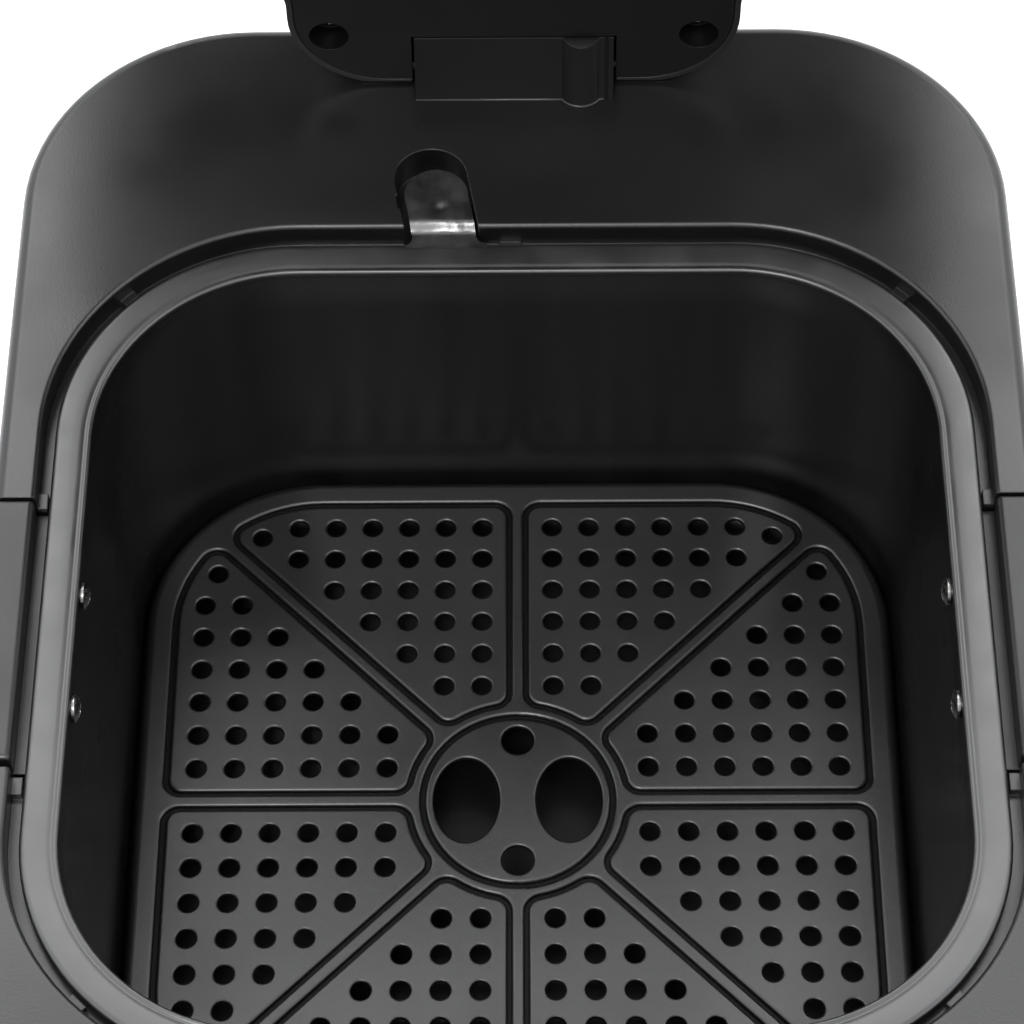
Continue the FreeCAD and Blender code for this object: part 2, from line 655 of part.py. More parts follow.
def hinge_housing():
    """Hollow block that stands on the deck and covers the bracket, the springs and the pin."""
    depth = BLOCK_REAR - BLOCK_FRONT
    block = leaning_block(BLOCK_HALF, BLOCK_FRONT, depth)
    bump_y = BLOCK_FRONT + BUMP_RADIUS - BUMP_PROUD
    circle = Part.makeCircle(BUMP_RADIUS, V(BUMP_X, bump_y, DECK_TOP), Z_AXIS)
    bump = Part.Face(Part.Wire([circle])).extrude(V(0, BLOCK_LEAN, BLOCK_RISE))
    groove = Part.makePlane(1.0, 2.2, V(27.2, BLOCK_FRONT - 1.0, DECK_TOP))
    groove = groove.extrude(V(0, BLOCK_LEAN, BLOCK_RISE))
    barrel = rod_x(-BLOCK_HALF, BLOCK_HALF, HINGE_Y, HINGE_Z, BLOCK_RADIUS)
    block = union(block, bump).cut(groove).common(barrel)
    inside = BLOCK_HALF - BLOCK_WALL
    room = rod_x(-inside, inside, HINGE_Y, HINGE_Z, BLOCK_RADIUS - BLOCK_WALL)
    hollow = leaning_block(inside, BLOCK_FRONT + BLOCK_WALL, depth - 2.0 * BLOCK_WALL).common(room)
    pin = rod_x(-BLOCK_HALF - 1.0, BLOCK_HALF + 1.0, HINGE_Y, HINGE_Z, PIN_RADIUS + 0.02)
    return block.cut([hollow, pin])


def hinge_bracket():
    """Steel plate under the deck with two ears that come up through it and hold the pin."""
    under = DECK_TOP - DECK_PLATE
    plate = box(-28.0, 28.0, HINGE_Y - 10.0, HINGE_Y + 10.0, under - 1.8, under)
    ear = box(EAR_X, EAR_X + EAR_THICK, HINGE_Y - 5.0, HINGE_Y + 5.0, under - 1.0, HINGE_Z)
    eye = rod_x(EAR_X, EAR_X + EAR_THICK, HINGE_Y, HINGE_Z, 5.0)
    pin = rod_x(-PIN_HALF, PIN_HALF, HINGE_Y, HINGE_Z, PIN_RADIUS + 0.02)
    return union(plate, *both_sides(union(ear, eye))).cut(pin)


def hinge_pin():
    pin = rod_x(-PIN_HALF, PIN_HALF, HINGE_Y, HINGE_Z, PIN_RADIUS)
    head = rod_x(PIN_HALF, PIN_HALF + 1.6, HINGE_Y, HINGE_Z, 2.6)
    clip = rod_x(-PIN_HALF - 1.0, -PIN_HALF, HINGE_Y, HINGE_Z, 2.4)
    return union(pin, head, clip)


def hinge_spring():
    """Torsion spring about the pin, with one leg along the deck."""
    helix = Part.makeHelix(SPRING_PITCH, SPRING_PITCH * SPRING_TURNS, SPRING_RADIUS)
    start = V(SPRING_RADIUS, 0, 0)
    wire = Part.Wire([Part.makeCircle(SPRING_WIRE, start, Y_AXIS)])
    coil = Part.Wire(helix.Edges).makePipeShell([wire], True, True)
    leg = Part.makeCylinder(SPRING_WIRE, 7.0, start + V(0, -7.0, 0), Y_AXIS)
    spring = coil.fuse(leg)
    spring.rotate(V(0, 0, 0), Y_AXIS, 90.0)
    spring.translate(V(SPRING_X, HINGE_Y, HINGE_Z))
    return spring


# ---- lid ----------------------------------------------------------------------------------
def neck_lip():
    """What is cut from the neck's lower rear edge to round it."""
    y = NECK_REAR - NECK_LIP
    z = LID_BOTTOM + NECK_LIP
    corner = box(-NECK_HALF, NECK_HALF, y, NECK_REAR + 1.0, LID_BOTTOM - 1.0, z)
    return corner.cut(rod_x(-NECK_HALF, NECK_HALF, y, z, NECK_LIP))


def lid_volume(inset, bottom):
    low = prism(lid_outline(inset), bottom, NECK_TOP - inset)
    if inset == 0.0:
        low = low.makeFillet(NECK_EDGE, edges_at(low, NECK_TOP))
    radius = LID_CORNER - inset
    rear_radius = LID_REAR_CORNER - inset
    plan = [(-LID_HALF + inset, LID_FRONT + inset, radius), (LID_HALF - inset, LID_FRONT + inset, radius),
            (LID_HALF - inset, LID_REAR - inset, rear_radius),
            (-LID_HALF + inset, LID_REAR - inset, rear_radius)]
    dome = prism(plan, bottom, LID_TOP - inset)
    dome = dome.makeFillet(LID_EDGE - inset, edges_at(dome, LID_TOP - inset))
    return union(low, dome)


def lid_well(grow):
    """Space in the neck for the hinge block, open at the underside and the rear end."""
    half = WELL_HALF + grow
    reach = WELL_REACH + grow
    return box(-half, half, HINGE_Y - reach, NECK_REAR + 5.0, LID_BOTTOM - 5.0, HINGE_Z + reach)


def pin_room():
    """Room about the pin and the arms' bosses inside the neck, on both sides of the well."""
    return rod_x(-PIN_HALF - 3.0, PIN_HALF + 3.0, HINGE_Y, HINGE_Z, BEARING_RADIUS + 0.2)


def lid_shell():
    shell = lid_volume(0.0, LID_BOTTOM).cut(lid_volume(LID_WALL, LID_BOTTOM - 6.0))
    exhaust = upright(grille_outline(0.0), LID_REAR - LID_WALL - 1.0, LID_REAR + 1.0)
    vents = [tube(0.0, 0.0, LID_TOP - LID_WALL - 1.0, LID_TOP + 1.0, outer, outer - 3.0)
             for outer in (18.0, 25.0, 32.0, 39.0)]
    spokes = [turned(box(-3.0, 3.0, -50.0, 50.0, LID_TOP - 5.0, LID_TOP + 2.0), angle)
              for angle in (0.0, 90.0)]
    vents = [vent.cut(spokes) for vent in vents]
    bosses = both_sides(tube(RECESS_X, RECESS_Y, ARM_FOOT_TOP, NECK_TOP - 1.0, 4.5, 2.02))
    return union(shell, *bosses).cut([lid_well(0.2), pin_room(), neck_lip(), exhaust, *vents])


def lid_inner_cover():
    cover = prism(lid_outline(LID_WALL + 0.25), LID_BOTTOM, LID_BOTTOM + COVER_THICK)
    well = lid_well(WELL_WALL).common(box(-60.0, 60.0, 100.0, NECK_REAR - LID_WALL - 0.3,
                                          LID_BOTTOM + 1.0, NECK_TOP))
    cups = [post(side * RECESS_X, RECESS_Y, LID_BOTTOM, LID_BOTTOM + RECESS_DEPTH + 2.0,
                 RECESS_RADIUS + 1.5) for side in (-1, 1)]
    cover = union(cover, well, *cups)
    cover = cover.cut(lid_well(0.0))
    tools = [prism(square(OPENING_HALF - 10.0, 60.0), LID_BOTTOM - 1.0, LID_BOTTOM + COVER_THICK + 1.0)]
    tools.append(pin_room())
    for side in (-1, 1):
        x = side * RECESS_X
        tools.append(post(x, RECESS_Y, LID_BOTTOM - 1.0, LID_BOTTOM + RECESS_DEPTH, RECESS_RADIUS))
        tools.append(post(x, RECESS_Y, LID_BOTTOM, LID_BOTTOM + RECESS_DEPTH + 3.0, 2.1))
    for x, y in COVER_SCREWS:
        tools.append(post(x, y, LID_BOTTOM - 1.0, LID_BOTTOM + COVER_THICK + 1.0, 3.1))
    return cover.cut(tools)


COVER_SCREWS = ((-118.0, -108.0), (118.0, -108.0), (-122.0, 112.0), (122.0, 112.0))


def lid_liner():
    lip = square(OPENING_HALF - 3.8, OPENING_CORNER - 3.8)
    inner = square(CHAMBER_HALF, CHAMBER_CORNER)
    outer = square(CHAMBER_HALF + 1.0, CHAMBER_CORNER + 1.0)
    bowl = prism(outer, CHAMBER_LIP, CHAMBER_TOP)
    bowl = bowl.makeFillet(8.0, edges_at(bowl, CHAMBER_TOP))
    bowl = union(bowl, prism(lip, CHAMBER_LIP, LID_BOTTOM))
    hollow = prism(inner, CHAMBER_LIP - 1.0, CHAMBER_TOP - 1.0)
    hollow = hollow.makeFillet(7.0, edges_at(hollow, CHAMBER_TOP - 1.0))
    holes = [post(0, 0, CHAMBER_TOP - 3.0, CHAMBER_TOP + 1.0, 8.0),
             post(-92.0, 40.0, CHAMBER_TOP - 3.0, CHAMBER_TOP + 1.0, 2.1)]
    holes += [post(x, y, CHAMBER_TOP - 3.0, CHAMBER_TOP + 1.0, 5.0) for x, y in coil_ends()]
    return bowl.cut([hollow] + holes)


def lid_gasket():
    ring = prism(square(129.0, 65.2), RIM_TOP + 0.5, CHAMBER_LIP)
    ring = ring.cut(prism(square(122.6, 58.8), RIM_TOP, CHAMBER_LIP + 1.0))
    return ring.makeFillet(1.0, edges_at(ring, RIM_TOP + 0.5))


def coil_arcs():
    """Half circles whose radius shrinks by one step each, so that they join into a spiral."""
    arcs = []
    centre = 0.0
    radius = COIL_OUTER
    for index in range(5):
        side = 1.0 if index % 2 == 0 else -1.0
        first = V(centre + side * radius, 0, COIL_Z)
        middle = V(centre, side * radius, COIL_Z)
        last = V(centre - side * radius, 0, COIL_Z)
        arcs.append((first, middle, last))
        centre = centre - side * COIL_STEP
        radius = radius - COIL_STEP
    return arcs


def coil_ends():
    arcs = coil_arcs()
    return [(arcs[0][0].x, arcs[0][0].y), (arcs[-1][2].x, arcs[-1][2].y)]


def heater_coil():
    path = Part.Wire([Part.Arc(*points).toShape() for points in coil_arcs()])
    start = coil_arcs()[0][0]
    section = Part.Wire([Part.makeCircle(COIL_WIRE, start, Y_AXIS)])
    coil = path.makePipeShell([section], True, False)
    ends = []
    for x, y in coil_ends():
        ends.append(Part.makeSphere(COIL_WIRE, V(x, y, COIL_Z)))
        ends.append(post(x, y, COIL_Z, CHAMBER_TOP + 4.0, COIL_WIRE))
        ends.append(post(x, y, CHAMBER_TOP + 4.0, CHAMBER_TOP + 10.0, 1.2))
    return coil.fuse(ends)


def heater_clips():
    clips = []
    for angle in (50.0, 170.0, 290.0):
        top = box(60.0, 68.0, -2.0, 2.0, COIL_Z + COIL_WIRE + 0.4, CHAMBER_TOP - 1.0)
        foot_plate = box(56.0, 72.0, -5.0, 5.0, CHAMBER_TOP - 2.2, CHAMBER_TOP - 1.0)
        clips.append(turned(union(top, foot_plate), angle))
    return Part.makeCompound(clips)


GUARD_Z = 162.0
GUARD_RINGS = (20.0, 41.0, 62.0, 83.0, 104.0)


def heater_guard():
    wires = [Part.makeTorus(radius, 1.3, V(0, 0, GUARD_Z), Z_AXIS) for radius in GUARD_RINGS]
    for index in range(6):
        spoke = rod_x(-116.5, 116.5, 0.0, GUARD_Z + 1.6, 1.2)
        wires.append(turned(spoke, 30.0 * index + 15.0))
    return wires[0].fuse(wires[1:])


def fan_shaft():
    return post(0, 0, FAN_Z - 8.0, MOTOR_Z + MOTOR_HEIGHT - 2.0, SHAFT_RADIUS)


def impeller(z, radius, blades, height, pitch, hub):
    """Fan wheel with flat radial blades; pitch leans each blade, in degrees."""
    wheel = [post(0, 0, z, z + height, hub)]
    for index in range(blades):
        blade = box(hub - 2.0, radius, -0.6, 0.6, z, z + height)
        blade = turned(blade, pitch, V(0, 0, z + height / 2.0), X_AXIS)
        wheel.append(turned(blade, 360.0 / blades * index))
    slice_box = post(0, 0, z, z + height, radius + 2.0)
    bore = post(0, 0, z - 1.0, z + height + 1.0, SHAFT_RADIUS + PRESS_GAP)
    return wheel[0].fuse(wheel[1:]).common(slice_box).cut(bore)


def convection_fan():
    wheel = impeller(FAN_Z, FAN_RADIUS, FAN_BLADES, 18.0, 0.0, 9.0)
    disc = tube(0, 0, FAN_Z + 16.8, FAN_Z + 18.0, FAN_RADIUS, 7.0)
    return wheel.fuse(disc)


def cooling_fan():
    return impeller(COOLER_Z, COOLER_RADIUS, COOLER_BLADES, 7.5, 35.0, 8.0)


def fan_nut():
    corners = [(5.5 * math.cos(math.radians(60 * i)), 5.5 * math.sin(math.radians(60 * i)), 0.0)
               for i in range(6)]
    nut = prism(corners, FAN_Z - 5.0, FAN_Z)
    return nut.cut(post(0, 0, FAN_Z - 6.0, FAN_Z + 1.0, SHAFT_RADIUS + PRESS_GAP))


def fan_motor():
    case = post(0, 0, MOTOR_Z, MOTOR_Z + MOTOR_HEIGHT, MOTOR_RADIUS)
    case = case.makeFillet(2.5, edges_at(case, MOTOR_Z + MOTOR_HEIGHT))
    bore = post(0, 0, MOTOR_Z - 1.0, MOTOR_Z + MOTOR_HEIGHT - 1.5, SHAFT_RADIUS + PIN_RUN)
    return case.cut(bore)


def motor_bracket():
    bridge = box(-13.0, 13.0, -70.0, 70.0, MOTOR_Z - 1.5, MOTOR_Z)
    legs = [box(-13.0, 13.0, side * 67.0 - 3.0, side * 67.0 + 3.0, CHAMBER_TOP, MOTOR_Z)
            for side in (-1, 1)]
    return union(bridge, *legs).cut(post(0, 0, MOTOR_Z - 3.0, MOTOR_Z + 1.0, 6.0))


def thermostat():
    x = 62.0
    y = 62.0
    case = post(x, y, CHAMBER_TOP, CHAMBER_TOP + 5.0, 8.0)
    plate = box(x - 12.0, x + 12.0, y - 4.0, y + 4.0, CHAMBER_TOP, CHAMBER_TOP + 0.8)
    blades = [box(x + dx - 0.4, x + dx + 0.4, y - 3.0, y + 3.0, CHAMBER_TOP + 5.0, CHAMBER_TOP + 11.0)
              for dx in (-4.0, 4.0)]
    return union(case, plate, *blades)


def temp_probe():
    rod = post(-92.0, 40.0, 176.0, CHAMBER_TOP + 6.0, 2.0)
    collar = post(-92.0, 40.0, CHAMBER_TOP, CHAMBER_TOP + 4.0, 5.0)
    tip = Part.makeSphere(2.0, V(-92.0, 40.0, 176.0))
    return union(rod, collar, tip)


def insulation_wrap():
    """Fibre blanket round the heating chamber, resting on the lid's inner cover."""
    low = LID_BOTTOM + COVER_THICK
    wrap = prism(square(CHAMBER_HALF + 7.0, CHAMBER_CORNER + 7.0), low, 203.0)
    return wrap.cut(prism(square(CHAMBER_HALF + 1.1, CHAMBER_CORNER + 1.1), low - 1.0, 204.0))


def grille_outline(inset):
    half = 52.0 - inset
    low = NECK_TOP + 3.5 + inset
    high = LID_TOP - LID_EDGE - 1.0 - inset
    return [(-half, low, 2.0), (half, low, 2.0), (half, high, 2.0), (-half, high, 2.0)]


def exhaust_grille():
    frame = upright(grille_outline(0.2), LID_REAR - LID_WALL - 2.0, LID_REAR)
    slots = []
    low = NECK_TOP + 5.2
    high = LID_TOP - LID_EDGE - 2.6
    for index in range(13):
        x = -42.0 + 7.0 * index
        slots.append(box(x - 2.2, x + 2.2, LID_REAR - 10.0, LID_REAR + 1.0, low, high))
    return frame.cut(slots)


def lid_handle():
    """Lip along the lid's front with a hollow underneath for the fingers."""
    outline = [(-52.0, LID_FRONT, 0.0), (-52.0, LID_FRONT - 18.0, 12.0), (52.0, LID_FRONT - 18.0, 12.0),
               (52.0, LID_FRONT, 0.0)]
    lip = prism(outline, 178.0, 196.0)
    outer = [edge for edge in edges_at(lip, 196.0) if edge.BoundBox.YMin < LID_FRONT - 0.5]
    lip = lip.makeFillet(4.0, outer)
    scoop = rod_x(-44.0, 44.0, LID_FRONT - 5.0, 176.0, 10.0)
    return lip.cut(scoop)


def lid_magnet():
    seat = LID_BOTTOM + COVER_THICK
    return post(MAGNET_X, MAGNET_Y, seat, seat + 4.0, 5.0)


def lid_arm():
    """Steel arm of the right side, from the pin to the screw in the neck's recess."""
    web = box(ARM_X, ARM_X + ARM_THICK, 168.0, HINGE_Y, ARM_BOTTOM, ARM_FOOT_TOP)
    boss = rod_x(ARM_X, ARM_X + ARM_THICK, HINGE_Y, HINGE_Z, BEARING_RADIUS)
    foot_plate = box(ARM_X, RECESS_X + 5.5, 168.0, 180.0, ARM_FOOT_TOP - 2.0, ARM_FOOT_TOP)
    web = web.cut(box(ARM_X - 1.0, ARM_X + 4.0, HINGE_Y - 4.0, HINGE_Y + 1.0, HINGE_Z + 3.0, 190.0))
    bore = rod_x(ARM_X - 1.0, ARM_X + 4.0, HINGE_Y, HINGE_Z, PIN_RADIUS + PIN_RUN)
    return union(web, boss, foot_plate).cut([bore, post(RECESS_X, RECESS_Y, 160.0, 180.0, 2.1)])


def pan_screw(length, head_radius, shank_radius):
    """Cross-recess pan-head screw along +z, with the head's seat at z = 0 and its crown below."""
    crown = Part.makeSphere(head_radius * 1.6, V(0, 0, head_radius * 1.6 - 2.2))
    head = crown.common(post(0, 0, -2.2, 0.0, head_radius))
    cross = union(box(-0.45, 0.45, -head_radius * 0.6, head_radius * 0.6, -3.0, -1.0),
                  box(-head_radius * 0.6, head_radius * 0.6, -0.45, 0.45, -3.0, -1.0))
    return union(head.cut(cross), post(0, 0, 0.0, length, shank_radius))


def lid_hinge_screws():
    screws = []
    for side in (-1, 1):
        screw = pan_screw(10.0, 4.0, 2.0)
        screw.translate(V(side * RECESS_X, RECESS_Y, LID_BOTTOM + RECESS_DEPTH))
        screws.append(screw)
    return Part.makeCompound(screws)


def lid_cover_screws():
    screws = []
    for x, y in COVER_SCREWS:
        screw = Part.makeCone(3.0, 1.6, COVER_THICK - 0.6, V(x, y, LID_BOTTOM + 0.3), Z_AXIS)
        screw = union(screw, post(x, y, LID_BOTTOM + COVER_THICK - 0.4, LID_BOTTOM + 12.0, 1.5))
        slot = union(box(x - 1.8, x + 1.8, y - 0.35, y + 0.35, LID_BOTTOM, LID_BOTTOM + 1.0),
                     box(x - 0.35, x + 0.35, y - 1.8, y + 1.8, LID_BOTTOM, LID_BOTTOM + 1.0))
        screws.append(screw.cut(slot))
    return Part.makeCompound(screws)


# ---- pot and crisper plate ----------------------------------------------------------------
TONGUE_TOP = RIM_TOP + TONGUE_RISE
TONGUE_UNDER = TONGUE_TOP - RIM_THICK


def pot_volume(grow, floor, top):
    """Inside of the pot grown by the wall's thickness, between two heights."""
    slope = POT_DRAFT / (RIM_TOP - POT_FLOOR)
    low = POT_HALF - slope * (RIM_TOP - floor) + grow
    high = POT_HALF - slope * (RIM_TOP - top) + grow
    corner = POT_CORNER - POT_HALF
    return loft(square(low, low + corner), floor, square(high, high + corner), top)


def pot_tongue():
    """Sheet tongue that steps up from the rim's rear edge into the pocket of the deck."""
    start = RIM_HALF - OPENING_HALF - 3.0
    end = TONGUE_LENGTH + 3.0
    step = [(start, RIM_TOP), (0.0, RIM_TOP), (4.2, TONGUE_TOP), (end, TONGUE_TOP), (end, TONGUE_UNDER),
            (4.6, TONGUE_UNDER), (0.4, RIM_TOP - RIM_THICK), (start, RIM_TOP - RIM_THICK)]
    reach = 3.0 * TONGUE_HALF
    points = [V(TONGUE_X - reach, OPENING_HALF + y, z) for y, z in step]
    side = Part.Face(Part.makePolygon(points + [points[0]]))
    strip = side.extrude(V(2.0 * reach, 0, 0))
    tip = OPENING_HALF + TONGUE_LENGTH - TONGUE_HALF
    plan = union(box(-TONGUE_HALF, TONGUE_HALF, OPENING_HALF - 12.0, tip, RIM_TOP - 5.0, RIM_TOP + 9.0),
                 post(0, tip, RIM_TOP - 5.0, RIM_TOP + 9.0, TONGUE_HALF))
    plan.translate(V(TONGUE_X, 0, 0))
    plan = turned(plan, TONGUE_TURN, V(TONGUE_X, OPENING_HALF, 0))
    x, y = tongue_point(0.0, PLUNGER_ALONG)
    dimple = Part.makeSphere(3.2, V(x, y, TONGUE_TOP + 2.3))
    return strip.common(plan).cut(dimple)


def pot():
    outer_floor = POT_FLOOR - POT_WALL
    outside = pot_volume(POT_WALL, outer_floor, RIM_TOP - 0.2)
    outside = outside.makeFillet(POT_FLOOR_EDGE + POT_WALL, edges_at(outside, outer_floor))
    rim = prism(square(RIM_HALF, RIM_CORNER), RIM_TOP - RIM_THICK, RIM_TOP)
    inside = pot_volume(0.0, POT_FLOOR, RIM_TOP + 2.0)
    inside = inside.makeFillet(POT_FLOOR_EDGE, edges_at(inside, POT_FLOOR))
    body = union(outside, rim, pot_tongue()).cut(inside)
    holes = [rod_x(-140.0, 140.0, y, SCREW_Z, 2.1) for y in SCREW_Y]
    body = body.cut(holes)
    rim_edges = [edge for edge in edges_at(body, RIM_TOP, POT_HALF + 2.0)]
    return body.makeFillet(0.7, rim_edges)


def pot_handle():
    """Right-hand grip flush with the deck, and the foot under the rim that the pot screws hold."""
    plan = [(HANDLE_INNER, HANDLE_FRONT, 1.0), (HANDLE_OUTER, HANDLE_FRONT, 9.0),
            (HANDLE_OUTER, HANDLE_REAR, 9.0), (HANDLE_INNER, HANDLE_REAR, 1.0)]
    grip = prism(plan, HANDLE_BOTTOM, DECK_TOP)
    grip = grip.makeFillet(1.5, edges_at(grip, DECK_TOP))
    grip = grip.makeFillet(4.0, [edge for edge in edges_at(grip, HANDLE_BOTTOM)
                                 if edge.BoundBox.XMax > HANDLE_INNER + 6.0])
    shelf = box(127.6, HANDLE_INNER + 1.0, HANDLE_FRONT, HANDLE_REAR, LEDGE_TOP - 4.0, LEDGE_TOP)
    foot_block = box(POT_HALF - 2.0, HANDLE_INNER + 1.0, -36.0, 28.0, 141.0, LEDGE_TOP)
    foot_block = foot_block.cut(pot_volume(POT_WALL, POT_FLOOR - POT_WALL, RIM_TOP - 0.2))
    groove = rod_y(145.5, HANDLE_FRONT - 1.0, HANDLE_REAR + 1.0, HANDLE_BOTTOM - 4.0, 8.0)
    holes = [rod_x(110.0, 131.0, y, SCREW_Z, 2.05) for y in SCREW_Y]
    return union(grip, shelf, foot_block).cut([groove] + holes)


def pot_screws():
    screws = []
    for y in SCREW_Y:
        screw = pan_screw(9.5, 4.0, 2.0)
        screw.rotate(V(0, 0, 0), Y_AXIS, 90.0)
        screw.translate(V(POT_HALF - 0.62, y, SCREW_Z))
        screws.append(screw)
        screws.append(mirrored(screw))
    return Part.makeCompound(screws)


def plate_segment(gap, inner, half, corner, round_radius, z0, z1):
    """One eighth of the plate between a straight rib and a diagonal rib, with rounded corners."""
    far = 2.0 * half
    diagonal = gap * math.sqrt(2.0)
    wedge = prism([(gap, gap + diagonal, 0.0), (far - diagonal, far, 0.0), (gap, far, 0.0)], z0, z1)
    piece = prism(square(half, corner), z0, z1).common(wedge).cut(post(0, 0, z0, z1, inner))
    sharp = []
    for edge in piece.Edges:
        bounds = edge.BoundBox
        vertical = bounds.XLength < 1e-4 and bounds.YLength < 1e-4
        on_rib = abs(bounds.XMin - gap) < 1e-3
        on_diagonal = abs(bounds.YMin - bounds.XMin - diagonal) < 1e-3
        if vertical and (on_rib or on_diagonal):
            sharp.append(edge)
    return piece.makeFillet(round_radius, sharp)


def eight(shape):
    """The shape in all eight segments: four quarter turns of it and of its mirror image."""
    flipped = shape.mirror(V(0, 0, 0), V(1, -1, 0))
    return [turned(piece, 90.0 * quarter) for quarter in range(4) for piece in (shape, flipped)]


def plate_holes():
    holes = []
    for rank in range(6):
        for row in range(rank + 2):
            x = FIRST_ROW + PITCH * row
            y = FIRST_RANK + PITCH * rank
            if row == 6:
                y = y - 3.5
            holes.append(post(x, y, PLATE_TOP - 6.0, PLATE_TOP + 3.0, HOLE_RADIUS))
    return [hole for cluster in holes for hole in eight(cluster)]


def finger_hole(x):
    """Oval hole for a finger, longer along y."""
    oval = Part.Ellipse(V(0, 0, PLATE_TOP - 6.0), 14.2, 9.85)
    hole = Part.Face(Part.Wire([oval.toShape()])).extrude(V(0, 0, 9.0))
    hole.rotate(V(0, 0, 0), Z_AXIS, 90.0)
    hole.translate(V(x, 0, 0))
    return hole


def hole_sized(edge):
    """True for the closed rim of a small hole, a round hole or a finger hole."""
    bounds = edge.BoundBox
    return edge.isClosed() and max(bounds.XLength, bounds.YLength) < 30.0


def crisper_plate():
    low = PLATE_TOP - GROOVE_DEPTH
    under = PLATE_TOP - PLATE_SHEET
    high = PLATE_TOP + 1.0
    plate = prism(square(PLATE_HALF, PLATE_CORNER), PLATE_TOP - PLATE_SKIRT, PLATE_TOP)
    plate = plate.makeFillet(PLATE_ROLL, edges_at(plate, PLATE_TOP))
    inner = square(PLATE_HALF - PLATE_SHEET, PLATE_CORNER - PLATE_SHEET)
    hollow = prism(inner, PLATE_TOP - PLATE_SKIRT - 1.0, under)
    hollow = hollow.makeFillet(PLATE_ROLL - PLATE_SHEET, edges_at(hollow, under))
    plate = plate.cut(hollow)
    ridge = plate_segment(RIDGE_GAP, 31.0, 107.6, 46.6, 6.4, low - PLATE_SHEET, under)
    inside_ridge = plate_segment(4.4, 34.7, 103.5, 42.5, 3.0, low - PLATE_SHEET - 1.0, under + 1.0)
    ridges = eight(ridge.cut(inside_ridge))
    ridges.append(tube(0, 0, low - PLATE_SHEET, under, 30.2, 26.7))
    plate = plate.fuse(ridges)
    field = plate_segment(1.9, 32.15, 106.25, 45.25, 5.45, low, high)
    pad = plate_segment(3.1, 33.4, 104.8, 43.8, 4.3, low - 1.0, high + 1.0)
    grooves = eight(field.cut(pad))
    grooves.append(tube(0, 0, low, high, 29.1, 27.8))
    round_holes = [post(0, side * 20.2, PLATE_TOP - 6.0, PLATE_TOP + 3.0, 4.8) for side in (-1, 1)]
    ovals = [finger_hole(side * 15.35) for side in (-1, 1)]
    plate = plate.cut(grooves)
    plate = plate.makeFillet(PILLOW_EDGE, edges_at(plate, PLATE_TOP, PLATE_HALF - 3.0))
    plate = plate.cut(plate_holes() + round_holes + ovals)
    rims = [edge for edge in edges_at(plate, PLATE_TOP) if hole_sized(edge)]
    return plate.makeFillet(HOLE_EDGE, rims)


def plate_feet():
    """Soft feet under the diagonal ribs, each with a slim neck that reaches up between the ridges."""
    feet = []
    low = POT_FLOOR + 0.4
    under = PLATE_TOP - PLATE_SHEET
    ridge = under - GROOVE_DEPTH
    for x in (-FOOT_OFFSET, FOOT_OFFSET):
        for y in (-FOOT_OFFSET, FOOT_OFFSET):
            stem = Part.makeCone(4.6, 5.6, ridge - low, V(x, y, low), Z_AXIS)
            feet.append(union(stem, post(x, y, ridge - 0.2, under, RIDGE_GAP - 0.05)))
    return Part.makeCompound(feet)


# ---- every piece --------------------------------------------------------------------------
def main():
    os.makedirs("parts", exist_ok=True)
    fixed = {
        "base_shell": base_shell(),
        "top_deck": top_deck(),
        "cavity_liner": cavity_liner(),
        "bottom_cover": bottom_cover(),
        "bottom_screws": bottom_screws(),
        "liner_screws": liner_screws(),
        "control_fascia": control_fascia(),
        "display_lens": display_lens(),
        "control_knob": control_knob(),
        "rotary_encoder": rotary_encoder(),
        "control_board": control_board(),
        "power_board": power_board(),
        "cord_inlet": cord_inlet(),
        "pot_switch": pot_switch(),
        "pot_plunger": pot_plunger(),
        "reed_switch": reed_switch(),
        "hinge_housing": hinge_housing(),
        "hinge_bracket": hinge_bracket(),
        "hinge_pin": hinge_pin(),
        "hinge_spring_left": mirrored(hinge_spring()),
        "hinge_spring_right": hinge_spring(),
        "pot": pot(),
        "pot_handle_left": mirrored(pot_handle()),
        "pot_handle_right": pot_handle(),
        "pot_screws": pot_screws(),
        "crisper_plate": crisper_plate(),
        "plate_feet": plate_feet(),
    }
    for name, (x, z) in BUTTON_PLACES.items():
        fixed[name] = push_button(x, z)
    for name, (x, y) in FOOT_PLACES.items():
        fixed[name] = foot(x, y)
    lid = {
        "lid_shell": lid_shell(),
        "lid_inner_cover": lid_inner_cover(),
        "lid_liner": lid_liner(),
        "lid_gasket": lid_gasket(),
        "lid_handle": lid_handle(),
        "lid_magnet": lid_magnet(),
        "lid_arm_left": mirrored(lid_arm()),
        "lid_arm_right": lid_arm(),
        "lid_hinge_screws": lid_hinge_screws(),
        "lid_cover_screws": lid_cover_screws(),
        "exhaust_grille": exhaust_grille(),
        "insulation_wrap": insulation_wrap(),
        "heater_coil": heater_coil(),
        "heater_clips": heater_clips(),
        "heater_guard": heater_guard(),
        "fan_motor": fan_motor(),
        "motor_bracket": motor_bracket(),
        "fan_shaft": fan_shaft(),
        "fan_nut": fan_nut(),
        "convection_fan": convection_fan(),
        "cooling_fan": cooling_fan(),
        "thermostat": thermostat(),
        "temp_probe": temp_probe(),
    }
    for name, shape in fixed.items():
        save(name, shape)
    for name, shape in lid.items():
        save(name, open_lid(shape))


main()
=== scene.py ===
"""Looks of the flip-lid air fryer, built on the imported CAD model.

Sizes are in millimetres, and are multiplied by MM where Blender takes metres.
"""

import json
import math

